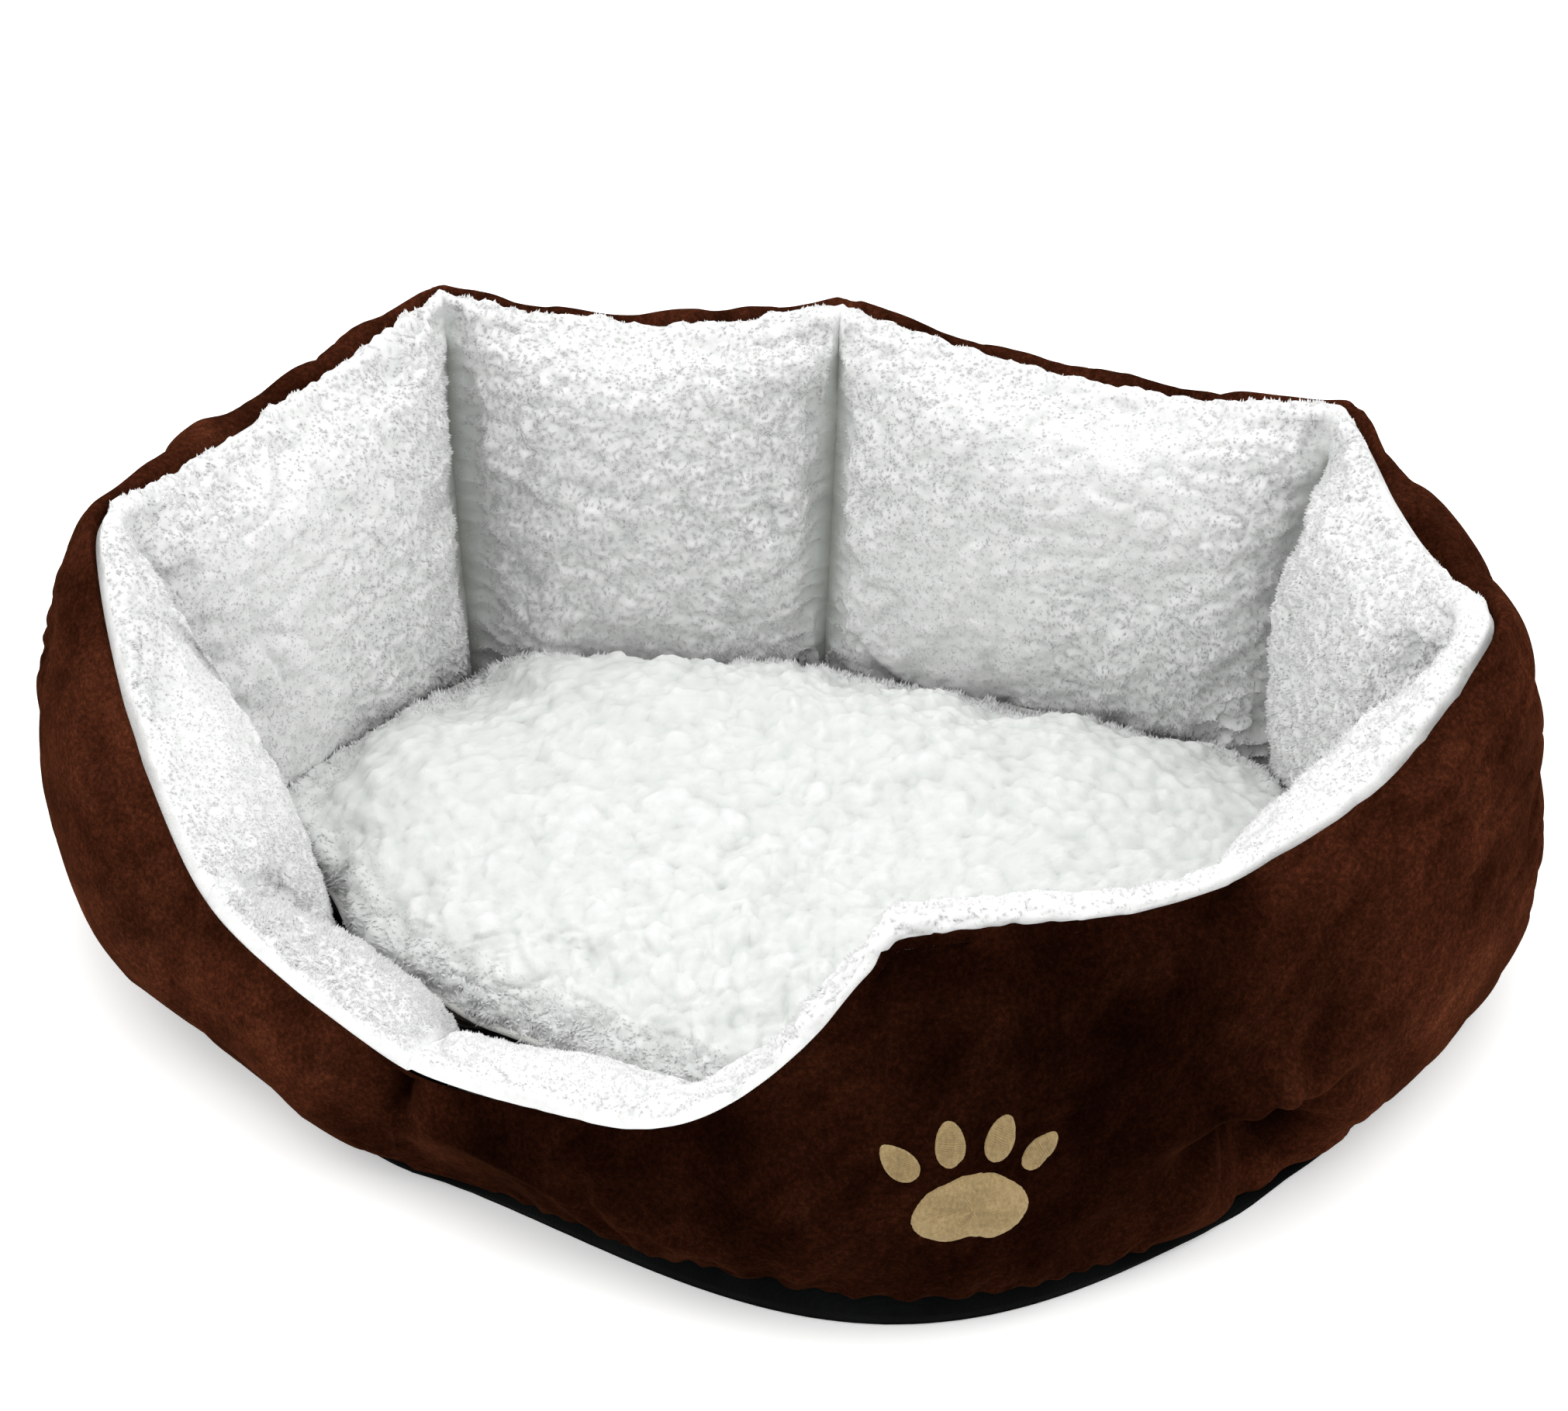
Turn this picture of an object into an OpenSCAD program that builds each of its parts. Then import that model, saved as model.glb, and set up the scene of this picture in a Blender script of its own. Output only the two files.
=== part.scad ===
// Polygonal plush pet bed: eight stuffed wall chambers around a lined nest,
// a low entrance at the front left, and a loose mat that lifts out.
// Millimetres, +Z up, origin at the middle of the bed on the floor.

/* [Bed] */
// Width of the bed over its stuffed sides
bed_w = 600; // [560:5:640]
// Height of the rim seam at the tall corners
rim_h = 186; // [170:1:205]
// Height of the rim seam at the lowest point of the entrance
entrance_h = 76; // [70:1:90]
// Height of the rim seam on the front wall beside the entrance
front_h = 166; // [150:1:180]

/* [Wall] */
// Thickness of the outer suede
suede_t = 2; // [1.5:0.5:2.5]
// Thickness of the fleece lining, backing and pile together
fleece_t = 5; // [4:0.5:6]
// Height of the base seam around the front, where the base fabric turns up
front_turn_up = 14; // [8:1:18]

/* [Base] */
// Thickness of the non-slip base fabric
base_t = 2.6; // [2:0.2:4]
// Thickness of the padding inside the floor
floor_pad_t = 6; // [4:1:8]
// Thickness of the fabric on top of the floor padding
floor_cloth_t = 1.6; // [1:0.2:2]

/* [Mat] */
// Thickness of the mat over its covers
mat_t = 44; // [34:1:48]
// Gap between the mat and the walls
mat_gap = 5; // [4:1:12]
// Thickness of the mat's fleece top
mat_top_t = 5; // [4:0.5:6]
// Thickness of the mat's underside cloth
mat_bottom_t = 1.6; // [1:0.2:2]

/* [Emblem] */
// Width of the embroidered paw's main pad
paw_pad_w = 44; // [30:1:50]
// Thickness of the embroidery thread
paw_t = 1.2; // [0.8:0.2:1.6]

/* [Hidden] */

SUEDE = [0.20, 0.09, 0.06];
FLEECE = [0.93, 0.93, 0.91];
FIBRE = [0.85, 0.85, 0.82];
BASE_BLACK = [0.05, 0.05, 0.055];
TAN = [0.68, 0.58, 0.40];

// Corner seams, anticlockwise from above, starting at the right:
// rim x, rim y, rim height, base x, base y, belly of the seam,
// and how hard the seam pinches the wall, from 0 to 1.
scale_xy = bed_w / 600;
CORNERS = [
    [273, -38, rim_h, 282, -34, 16, 1],        // 0 right
    [230, 115, rim_h, 240, 122, 12, 1],        // 1 back right
    [25, 198, rim_h, 25, 214, 10, 0.9],        // 2 back middle
    [-148, 209, rim_h, -157, 216, 10, 1],      // 3 back left
    [-272, 32, rim_h, -282, 34, 20, 1],        // 4 left
    [-222, -92, entrance_h + 18, -208, -84, 9, 0.6],   // 5 left end of the entrance
    [-140, -161, entrance_h - 6, -146, -139, 6, 0.4],  // 6 seam beside the dip
    [163, -152, front_h - 20, 175, -162, 8, 0.8]];     // 7 front right

// One wall chamber between corner k and the next one:
// outward bow at the base, bow at the rim, dip of the rim, inner thickness, outer belly.
RIGHT_BACK = 0;
BACK_RIGHT = 1;
BACK_LEFT = 2;
LEFT_BACK = 3;
LEFT = 4;
FRONT_LEFT = 5;
FRONT = 6;
RIGHT_FRONT = 7;
CHAMBERS = [
    [20, 2, 16, 54, 20],
    [16, 4, 13, 54, 18],
    [6, 3, 12, 54, 18],
    [16, 5, 7, 54, 20],
    [8, 7, 0, 66, 22],
    [2, 2, 0, 58, 14],
    [73, 56, 0, 66, 13],
    [4, 9, 4, 52, 18]];

// Wall section, from the base seam up the outside to the rim seam:
// height as a share of the wall, and stand-off as a share of the belly.
OUTER = [[0, -0.10], [0.10, 0.45], [0.33, 1], [0.60, 1], [0.84, 0.50], [0.97, 0]];
// From the rim seam over the roll and down the inside: height share,
// thickness share in the middle of a chamber, thickness in mm at a corner seam.
LINING = [[0.97, 0, 0], [1, 0.14, 5], [0.985, 0.34, 8], [0.90, 0.56, 14],
          [0.70, 0.78, 23], [0.45, 0.94, 33], [0.20, 1, 44], [0.02, 0.94, 49]];
rim_share = 0.97;       // the rim seam's share of the whole wall height
mitre_share = 0.3;      // stretch of a chamber that turns to meet its neighbour
puff = 0.55;            // how quickly a chamber swells away from its seams
seam_gap = 1.6;         // half of the space that a corner seam takes
fill_gap = 3;           // clearance between the stuffing and the skins around it
lap = 1.5;              // how far the lining starts from the rim seam, in suede thicknesses
part_gap = 0.3;         // clearance between pieces that lie on each other
side_turn_up = 5;       // height of the base seam away from the front

wall_z = base_t + part_gap;
steps = 10;             // stations along a chamber
front_steps = 16;       // stations along the long front chamber
dip_end = 0.24;         // share of the front wall where its lowest stretch ends
scoop_end = 0.60;       // share of the front wall where the scoop reaches full height
scoop_power = 1.9;
base_skew = 1.22;       // moves the front bow of the base towards the right

function lerp(a, b, t) = a + (b - a) * t;
function unit(v) = v / norm(v);
function smooth(a, b, x) = let (t = min(1, max(0, (x - a) / (b - a)))) t * t * (3 - 2 * t);
function plan(p) = [p[0], p[1]] * scale_xy;
function base_plan(c) = [c[3], c[4]] * scale_xy;
function corner(k) = CORNERS[k % len(CORNERS)];

// Rim seam height at share u of chamber k.
function front_rim(u, h0, h1) =
    u < dip_end
    ? lerp(h0, entrance_h, smooth(0, dip_end, u))
    : let (t = min(1, (u - dip_end) / (scoop_end - dip_end)))
      lerp(entrance_h, front_h, pow(t, scoop_power))
      + (h1 - front_h) * smooth(scoop_end + 0.02, 1, u);
function rim_height(k, u) =
    let (h0 = corner(k)[2], h1 = corner(k + 1)[2])
    k == FRONT ? front_rim(u, h0, h1) : lerp(h0, h1, u) - CHAMBERS[k][2] * sin(180 * u);

// Outward directions: of a chamber, of a corner, and at share u of a chamber.
function side_normal(k) =
    let (c = unit(base_plan(corner(k + 1)) - base_plan(corner(k)))) [c[1], -c[0]];
function mitre(k) = unit(side_normal((k + len(CORNERS) - 1) % len(CORNERS)) + side_normal(k));
function outward(k, u) =
    let (w0 = max(0, 1 - u / mitre_share), w1 = max(0, 1 - (1 - u) / mitre_share))
    unit(side_normal(k) * (1 - w0 - w1) + mitre(k) * w0 + mitre((k + 1) % len(CORNERS)) * w1);

function base_line(k, u) =
    lerp(base_plan(corner(k)), base_plan(corner(k + 1)), u)
    + side_normal(k) * CHAMBERS[k][0] * sin(180 * (k == FRONT ? pow(u, base_skew) : u));
function rim_line(k, u) =
    lerp(plan(corner(k)), plan(corner(k + 1)), u) + side_normal(k) * CHAMBERS[k][1] * sin(180 * u);
function swell(u) = pow(max(0, sin(180 * u)), puff);
function turn_up(k, u) =
    k == FRONT ? lerp(side_turn_up, front_turn_up, sin(180 * u)) : side_turn_up;

// The section at share u of chamber k, as [offset along outward, height share] pairs.
// A loose corner seam is as thick as the mean of the chambers on both sides of it.
function seam_thickness(k) =
    (CHAMBERS[k % len(CORNERS)][3] + CHAMBERS[(k + len(CORNERS) - 1) % len(CORNERS)][3]) / 2;
function belly(k, u) =
    lerp(lerp(corner(k)[5], corner(k + 1)[5], u), CHAMBERS[k][4], swell(u));
function outer_section(k, u) = [for (p = OUTER) [p[1] * belly(k, u), p[0]]];
function lining_section(k, u) =
    let (t = CHAMBERS[k][3],
         t_seam = lerp(seam_thickness(k), seam_thickness(k + 1), u),
         pinch = lerp(corner(k)[6], corner(k + 1)[6], u))
    [for (p = LINING)
        [-lerp(lerp(p[1] * t_seam, p[2], pinch), p[1] * t, swell(u)), p[0]]];

// Heights are measured from the base seam for the outside and from the floor for the lining.
function to_point(k, u, s, z0) =
    let (q = lerp(base_line(k, u), rim_line(k, u), s[1]) + outward(k, u) * s[0],
         top = rim_height(k, u) / rim_share)
    [q[0], q[1], lerp(z0, top, s[1])];
function to_flat(k, u, s, z0) =
    let (p = to_point(k, u, s, z0),
         q = base_line(k, u))
    [([p[0], p[1]] - q) * outward(k, u), p[2]];
function on_plan(k, u, f) = base_line(k, u) + outward(k, u) * f[0] + sideways(k, u, f);
function from_flat(k, u, f) = let (q = on_plan(k, u, f) - centre) [q[0], q[1], f[1]];
// The rim line can drift along the wall relative to the base line; this puts it back.
function sideways(k, u, f) =
    let (n = outward(k, u), d = rim_line(k, u) - base_line(k, u),
         share = f[1] / (rim_height(k, u) / rim_share))
    (d - n * (d * n)) * share;

// A run of flat points moved inwards, to the left of its direction, by t.
function inset(f, t) =
    [for (j = [0:len(f) - 1])
        let (a = f[max(0, j - 1)], b = f[min(len(f) - 1, j + 1)], d = unit(b - a))
        f[j] + [-d[1], d[0]] * t];

function outer_run(k, u) =
    [for (s = outer_section(k, u)) to_flat(k, u, s, turn_up(k, u))];
function lining_run(k, u) =
    [for (s = lining_section(k, u)) to_flat(k, u, s, wall_z)];
function above(run, z) = [for (p = run) [p[0], max(p[1], z)]];

// Stations along chamber k, kept clear of the corner seams at both ends.
function chamber_length(k) = norm(base_plan(corner(k + 1)) - base_plan(corner(k)));
function stations(k, gap = seam_gap) =
    let (n = k == FRONT ? front_steps : steps, e = gap / chamber_length(k))
    [for (j = [0:n]) let (t = j / n) lerp(e, 1 - e, (1 - cos(180 * t)) / 4 + t / 2)];

// Middle of the wall's outline, which the origin lies under.
WALL_OUTLINE = [for (k = [0:len(CORNERS) - 1]) for (u = stations(k))
    for (f = outer_run(k, u)) on_plan(k, u, f)];
centre = [for (i = [0, 1])
    let (v = [for (q = WALL_OUTLINE) q[i]]) (min(v) + max(v)) / 2];

// Joins rings of equal length, one per station, into a closed solid.
module loft(rings) {
    n = len(rings[0]);
    m = len(rings);
    polyhedron(
        points = [for (r = rings) for (p = r) p],
        faces = concat(
            [for (i = [0:m - 2]) for (j = [0:n - 1])
                let (a = i * n + j, b = i * n + (j + 1) % n) each [
                    [a, b, a + n], [b, b + n, a + n]]],
            [for (j = [1:n / 2 - 1]) each [
                [n - j, j, j - 1], [n - j, j - 1, (n - j + 1) % n]]],
            n % 2 == 0 ? [[n / 2, n / 2 - 1, n / 2 + 1]] : [],
            [for (j = [1:n / 2 - 1]) each [
                [(m - 1) * n + n - j, (m - 1) * n + j - 1, (m - 1) * n + j],
                [(m - 1) * n + n - j, (m - 1) * n + (n - j + 1) % n, (m - 1) * n + j - 1]]],
            n % 2 == 0 ? [[(m - 1) * n + n / 2, (m - 1) * n + n / 2 + 1,
                           (m - 1) * n + n / 2 - 1]] : []),
        convexity = 4);
}

function reversed(v) = [for (j = [len(v) - 1:-1:0]) v[j]];

// A skin: the run itself on one side and the run moved inwards by t on the other.
function skin_ring(k, u, run, t, z) =
    [for (f = concat(run, reversed(above(inset(run, t), z)))) from_flat(k, u, f)];

module outer_panel(k) {
    color(SUEDE) loft([for (u = stations(k))
        skin_ring(k, u, outer_run(k, u), suede_t, turn_up(k, u))]);
}

module lining_panel(k) {
    color(FLEECE) loft([for (u = stations(k))
        let (run = lining_run(k, u),
             start = run[0] + unit(run[1] - run[0]) * suede_t * lap)
        skin_ring(k, u, concat([start], [for (j = [1:len(run) - 1]) run[j]]), fleece_t, wall_z)]);
}

// The stuffing fills the chamber behind both skins.
function fill_ring(k, u) =
    let (out = inset(outer_run(k, u), suede_t + fill_gap),
         lin = inset(lining_run(k, u), fleece_t + fill_gap),
         body = concat([for (j = [0:len(out) - 2]) out[j]], [for (j = [1:len(lin) - 1]) lin[j]]))
    [for (f = above(body, turn_up(k, u) + fill_gap)) from_flat(k, u, f)];

module wall_fill(k) {
    color(FIBRE) loft([for (u = stations(k, seam_gap + fill_gap)) fill_ring(k, u)]);
}

// Outline of the base seam and, moved inwards, of the floor and the mat.
function outline(shift) =
    [for (k = [0:len(CORNERS) - 1]) for (j = [0:steps - 1])
        let (u = j / steps) base_line(k, u) + outward(k, u) * shift - centre];

// Inside face of the wall at its thickest, less a clearance.
function wall_inside(k, u) =
    min([for (f = lining_run(k, u)) f[0]]);
function nest_outline(gap) =
    [for (k = [0:len(CORNERS) - 1]) for (j = [0:steps - 1])
        let (u = j / steps)
            base_line(k, u) + outward(k, u) * (wall_inside(k, u) - gap) - centre];

module base_sheet() {
    color(BASE_BLACK) linear_extrude(base_t) polygon(outline(-1.6));
}

// The base fabric turns up around the edge to meet the suede at the base seam.
module base_turn_up() {
    low = base_t + part_gap;
    color(BASE_BLACK) for (k = [0:len(CORNERS) - 1])
        loft([for (u = stations(k))
            let (s = outer_run(k, u)[0][0], top = turn_up(k, u) - part_gap)
            [for (f = [[s - 1.2, low], [s, top], [s - 2, top], [s - 3.2, low]])
                from_flat(k, u, f)]]);
}

floor_inset = 4;        // space between the floor padding and the foot of the lining

module floor_layer(z, t) {
    translate([0, 0, z]) linear_extrude(t) polygon(nest_outline(floor_inset));
}

module floor_pad() {
    color(FIBRE) floor_layer(wall_z, floor_pad_t);
}

module floor_cloth() {
    color(SUEDE) floor_layer(wall_z + floor_pad_t + part_gap, floor_cloth_t);
}

// The doubled fabric edges at each corner, sewn through, that part two chambers.
web_t = 1;
web_in = 1.5;           // how far a web's edge sits inside the wall's outline

module corner_seams() {
    color(SUEDE) for (k = [0:len(CORNERS) - 1])
        let (ring = inset(concat(
                [for (j = [1:len(OUTER) - 2]) outer_run(k, 0)[j]],
                [for (j = [1:len(LINING) - 1]) lining_run(k, 0)[j]]), web_in),
             m = mitre(k), across = [-m[1], m[0]] * web_t / 2,
             face = [for (f = ring) from_flat(k, 0, f)])
        polyhedron(
            points = concat([for (p = face) p + [across[0], across[1], 0]],
                            [for (p = face) p - [across[0], across[1], 0]]),
            faces = concat(
                [[for (j = [len(face) - 1:-1:0]) j]],
                [[for (j = [0:len(face) - 1]) j + len(face)]],
                [for (j = [0:len(face) - 1]) let (i = (j + 1) % len(face))
                    [j, i, i + len(face), j + len(face)]]));
}

// Emblem on the outside of the front wall, its pad's middle at share u and height share w.
paw_u = 0.68;
paw_w = 0.33;
paw_lift = 0.5;         // stand-off of the embroidery's back from the suede
tangent_step = 0.02;    // share of the wall over which its slope is measured
pad_d = paw_pad_w * 0.7;
toe_r = paw_pad_w * 0.13;
toe_stretch = 1.55;
// Toes: across and up in pad widths, and lean in degrees.
TOES = [[-0.63, 0.54, 38], [-0.22, 0.68, 8], [0.22, 0.66, -12], [0.58, 0.46, -40]];

function front_point(u, w) =
    to_point(FRONT, u, [lookup(w, OUTER) * belly(FRONT, u), w], turn_up(FRONT, u))
    - [centre[0], centre[1], 0];

// Lays a flat shape on the front wall, at [across, up] in mm from the pad's middle.
module on_front(at) {
    d = tangent_step;
    run = norm(front_point(paw_u + d, paw_w) - front_point(paw_u - d, paw_w)) / (2 * d);
    rise = norm(front_point(paw_u, paw_w + d) - front_point(paw_u, paw_w - d)) / (2 * d);
    u = paw_u + at[0] / run;
    w = paw_w + at[1] / rise;
    across = unit(front_point(u + d, w) - front_point(u - d, w));
    out = unit(cross(across, front_point(u, w + d) - front_point(u, w - d)));
    up = cross(out, across);
    o = front_point(u, w) + out * paw_lift;
    multmatrix([for (i = [0:2]) [across[i], up[i], out[i], o[i]]])
        linear_extrude(paw_t) children();
}

module paw_pad() {
    color(TAN) on_front([0, 0]) hull() {
        for (side = [-1, 1])
            translate([side * (paw_pad_w / 2 - pad_d * 0.36), -pad_d * 0.1])
                circle(r = pad_d * 0.36, $fn = 32);
        translate([0, pad_d * 0.1]) circle(r = pad_d * 0.38, $fn = 32);
    }
}

module paw_toes() {
    color(TAN) for (t = TOES) on_front([t[0], t[1]] * paw_pad_w) rotate(t[2]) hull()
        for (side = [-1, 1])
            translate([0, side * toe_r * (toe_stretch - 1)]) circle(r = toe_r, $fn = 32);
}

// Loose mat: two covers sewn together at a piped seam, with a fibre slab inside.
mat_z = wall_z + floor_pad_t + part_gap + floor_cloth_t + part_gap;
piping_d = 3;
piping_z = mat_z + mat_t * 0.45;
mat_round = 14;

module mat_shape(shrink) {
    offset(r = mat_round) offset(delta = -mat_round - shrink) polygon(nest_outline(mat_gap));
}

module mat_top() {
    low = piping_z + piping_d / 2 + part_gap;
    high = mat_z + mat_t;
    color(FLEECE) difference() {
        translate([0, 0, low]) linear_extrude(high - low) mat_shape(0);
        translate([0, 0, low - 1]) linear_extrude(high - mat_top_t - low + 1) mat_shape(mat_top_t);
    }
}

module mat_bottom() {
    high = piping_z - piping_d / 2 - part_gap;
    color(SUEDE) difference() {
        translate([0, 0, mat_z]) linear_extrude(high - mat_z) mat_shape(0);
        translate([0, 0, mat_z + mat_bottom_t]) linear_extrude(high) mat_shape(mat_bottom_t);
    }
}

module mat_fill() {
    low = mat_z + mat_bottom_t + part_gap;
    high = mat_z + mat_t - mat_top_t - part_gap;
    color(FIBRE) translate([0, 0, low])
        linear_extrude(high - low) mat_shape(mat_top_t + part_gap);
}

module mat_piping() {
    color(SUEDE) translate([0, 0, piping_z - piping_d / 2]) linear_extrude(piping_d)
        difference() {
            mat_shape(0);
            mat_shape(piping_d);
        }
}

outer_panel(RIGHT_BACK);  // outer_panel_right_back
outer_panel(BACK_RIGHT);  // outer_panel_back_right
outer_panel(BACK_LEFT);  // outer_panel_back_left
outer_panel(LEFT_BACK);  // outer_panel_left_back
outer_panel(LEFT);  // outer_panel_left
outer_panel(FRONT_LEFT);  // outer_panel_front_left
outer_panel(FRONT);  // outer_panel_front
outer_panel(RIGHT_FRONT);  // outer_panel_right_front
lining_panel(RIGHT_BACK);  // lining_panel_right_back
lining_panel(BACK_RIGHT);  // lining_panel_back_right
lining_panel(BACK_LEFT);  // lining_panel_back_left
lining_panel(LEFT_BACK);  // lining_panel_left_back
lining_panel(LEFT);  // lining_panel_left
lining_panel(FRONT_LEFT);  // lining_panel_front_left
lining_panel(FRONT);  // lining_panel_front
lining_panel(RIGHT_FRONT);  // lining_panel_right_front
wall_fill(RIGHT_BACK);  // wall_fill_right_back
wall_fill(BACK_RIGHT);  // wall_fill_back_right
wall_fill(BACK_LEFT);  // wall_fill_back_left
wall_fill(LEFT_BACK);  // wall_fill_left_back
wall_fill(LEFT);  // wall_fill_left
wall_fill(FRONT_LEFT);  // wall_fill_front_left
wall_fill(FRONT);  // wall_fill_front
wall_fill(RIGHT_FRONT);  // wall_fill_right_front
corner_seams();
base_turn_up();
base_sheet();
floor_pad();
floor_cloth();
paw_pad();
paw_toes();
mat_top();
mat_bottom();
mat_fill();
mat_piping();
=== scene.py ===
"""Looks for a polygonal plush pet bed: stuffed suede walls, fleece lining, loose mat.

Every wall chamber is one closed grid. Cloth simulation swells the chambers and the mat's covers
between their pinned seams. Each chamber is then cut along the rim seam into a suede panel and a
fleece panel, and mesh code adds folds, clumps and tufts.
"""
import math

import bpy
import numpy as np
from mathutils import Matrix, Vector
from mathutils.bvhtree import BVHTree


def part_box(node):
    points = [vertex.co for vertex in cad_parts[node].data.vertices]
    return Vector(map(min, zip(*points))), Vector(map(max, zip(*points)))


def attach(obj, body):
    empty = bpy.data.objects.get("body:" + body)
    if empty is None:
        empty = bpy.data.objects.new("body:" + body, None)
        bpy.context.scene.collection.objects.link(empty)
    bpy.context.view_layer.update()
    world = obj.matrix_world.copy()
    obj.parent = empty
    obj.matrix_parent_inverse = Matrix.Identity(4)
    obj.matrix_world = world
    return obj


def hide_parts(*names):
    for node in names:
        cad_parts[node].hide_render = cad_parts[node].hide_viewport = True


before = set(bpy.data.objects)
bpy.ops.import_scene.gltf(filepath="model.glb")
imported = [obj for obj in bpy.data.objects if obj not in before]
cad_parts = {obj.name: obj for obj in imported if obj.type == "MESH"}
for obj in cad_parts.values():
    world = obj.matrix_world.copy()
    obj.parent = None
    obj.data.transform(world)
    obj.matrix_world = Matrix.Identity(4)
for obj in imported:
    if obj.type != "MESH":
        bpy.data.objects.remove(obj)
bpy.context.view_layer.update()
MM = 0.001

# ---------------------------------------------------------------- wall design, in metres
# Corner seams anticlockwise from the right: rim x, y, z, base x, y, belly, pinch.
RIM_H, ENTRANCE_H, FRONT_H = 0.186, 0.076, 0.166
CORNERS = np.array([
    [0.273, -0.038, RIM_H, 0.282, -0.034, 0.016, 1.0],
    [0.230, 0.115, RIM_H, 0.240, 0.122, 0.012, 1.0],
    [0.025, 0.198, RIM_H, 0.025, 0.214, 0.010, 0.9],
    [-0.148, 0.209, RIM_H, -0.157, 0.216, 0.010, 1.0],
    [-0.272, 0.032, RIM_H, -0.282, 0.034, 0.020, 1.0],
    [-0.222, -0.092, ENTRANCE_H + 0.018, -0.208, -0.084, 0.009, 0.6],
    [-0.140, -0.161, ENTRANCE_H - 0.006, -0.146, -0.139, 0.006, 0.4],
    [0.163, -0.152, FRONT_H - 0.020, 0.175, -0.162, 0.008, 0.8]])
# Chambers: name, bow at the base, bow at the rim, dip of the rim, thickness, belly.
CHAMBERS = [
    ("right_back", 0.020, 0.002, 0.016, 0.054, 0.020),
    ("back_right", 0.016, 0.004, 0.013, 0.054, 0.018),
    ("back_left", 0.006, 0.003, 0.012, 0.054, 0.018),
    ("left_back", 0.016, 0.005, 0.007, 0.054, 0.020),
    ("left", 0.008, 0.007, 0.0, 0.066, 0.022),
    ("front_left", 0.002, 0.002, 0.0, 0.058, 0.014),
    ("front", 0.073, 0.056, 0.0, 0.066, 0.013),
    ("right_front", 0.004, 0.009, 0.004, 0.052, 0.018)]
NAMES = [c[0] for c in CHAMBERS]
FRONT = NAMES.index("front")
N = len(CORNERS)
# Section: height share, stand-off as a share of the belly.
OUTER = np.array([[0, -0.10], [0.10, 0.45], [0.33, 1], [0.60, 1], [0.84, 0.50], [0.97, 0]])
# Section: height share, thickness share in mid-chamber, thickness at a tight corner seam.
LINING = np.array([
    [0.97, 0, 0], [1, 0.14, 0.005], [0.985, 0.34, 0.008], [0.90, 0.56, 0.014],
    [0.70, 0.78, 0.023], [0.45, 0.94, 0.033], [0.20, 1, 0.044], [0.02, 0.94, 0.049]])
# How far the suede puffs up behind the rim seam: in mid-chamber, and at each corner seam.
ROLL = [0.013, 0.009, 0.008, 0.013, 0.003, 0.0, 0.0, 0.002]
CORNER_ROLL = [0.005, 0.005, 0.006, 0.005, 0.005, 0.0, 0.0, 0.0]
RIM_SHARE = 0.97
MITRE_SHARE = 0.3
PUFF = 0.55
WALL_Z = 0.0029
SIDE_TURN_UP, FRONT_TURN_UP = 0.005, 0.014
DIP_END, SCOOP_END, SCOOP_POWER, BASE_SKEW = 0.24, 0.60, 1.9, 1.22


def unit(v):
    return v / np.linalg.norm(v, axis=-1, keepdims=True)


def smooth(a, b, x):
    t = np.clip((x - a) / (b - a), 0, 1)
    return t * t * (3 - 2 * t)


def bell(x, width):
    return np.exp(-(x / width) ** 2)


def along_chamber(start, end, u):
    """A value that changes evenly from one corner seam of a chamber to the other."""
    return start + (end - start) * u


def middle_of(ring):
    return (ring.min(0) + ring.max(0)) / 2


def rim_height(k, u):
    h0, h1 = CORNERS[k, 2], CORNERS[(k + 1) % N, 2]
    if k != FRONT:
        return h0 + (h1 - h0) * u - CHAMBERS[k][3] * np.sin(np.pi * u)
    low = h0 + (ENTRANCE_H - h0) * smooth(0, DIP_END, u)
    t = np.clip((u - DIP_END) / (SCOOP_END - DIP_END), 0, 1)
    high = (ENTRANCE_H + (FRONT_H - ENTRANCE_H) * t ** SCOOP_POWER
            + (h1 - FRONT_H) * smooth(SCOOP_END + 0.02, 1, u))
    return np.where(u < DIP_END, low, high)


def side_normal(k):
    c = unit(CORNERS[(k + 1) % N, 3:5] - CORNERS[k % N, 3:5])
    return np.array([c[1], -c[0]])


def mitre(k):
    return unit(side_normal((k - 1) % N) + side_normal(k % N))


def outward(k, u):
    w0 = np.maximum(0, 1 - u / MITRE_SHARE)[:, None]
    w1 = np.maximum(0, 1 - (1 - u) / MITRE_SHARE)[:, None]
    return unit(side_normal(k) * (1 - w0 - w1) + mitre(k) * w0 + mitre(k + 1) * w1)


def base_line(k, u):
    skewed = u ** BASE_SKEW if k == FRONT else u
    a, b = CORNERS[k, 3:5], CORNERS[(k + 1) % N, 3:5]
    bow = CHAMBERS[k][1] * np.sin(np.pi * skewed)
    return a + (b - a) * u[:, None] + side_normal(k) * bow[:, None]


def rim_line(k, u):
    a, b = CORNERS[k, 0:2], CORNERS[(k + 1) % N, 0:2]
    bow = CHAMBERS[k][2] * np.sin(np.pi * u)
    return a + (b - a) * u[:, None] + side_normal(k) * bow[:, None]


def swell(u):
    return np.maximum(0, np.sin(np.pi * u)) ** PUFF


def turn_up(k, u):
    extra = (FRONT_TURN_UP - SIDE_TURN_UP) * np.sin(np.pi * u) if k == FRONT else 0 * u
    return SIDE_TURN_UP + extra


def seam_thickness(k):
    return (CHAMBERS[k % N][4] + CHAMBERS[(k - 1) % N][4]) / 2


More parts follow.
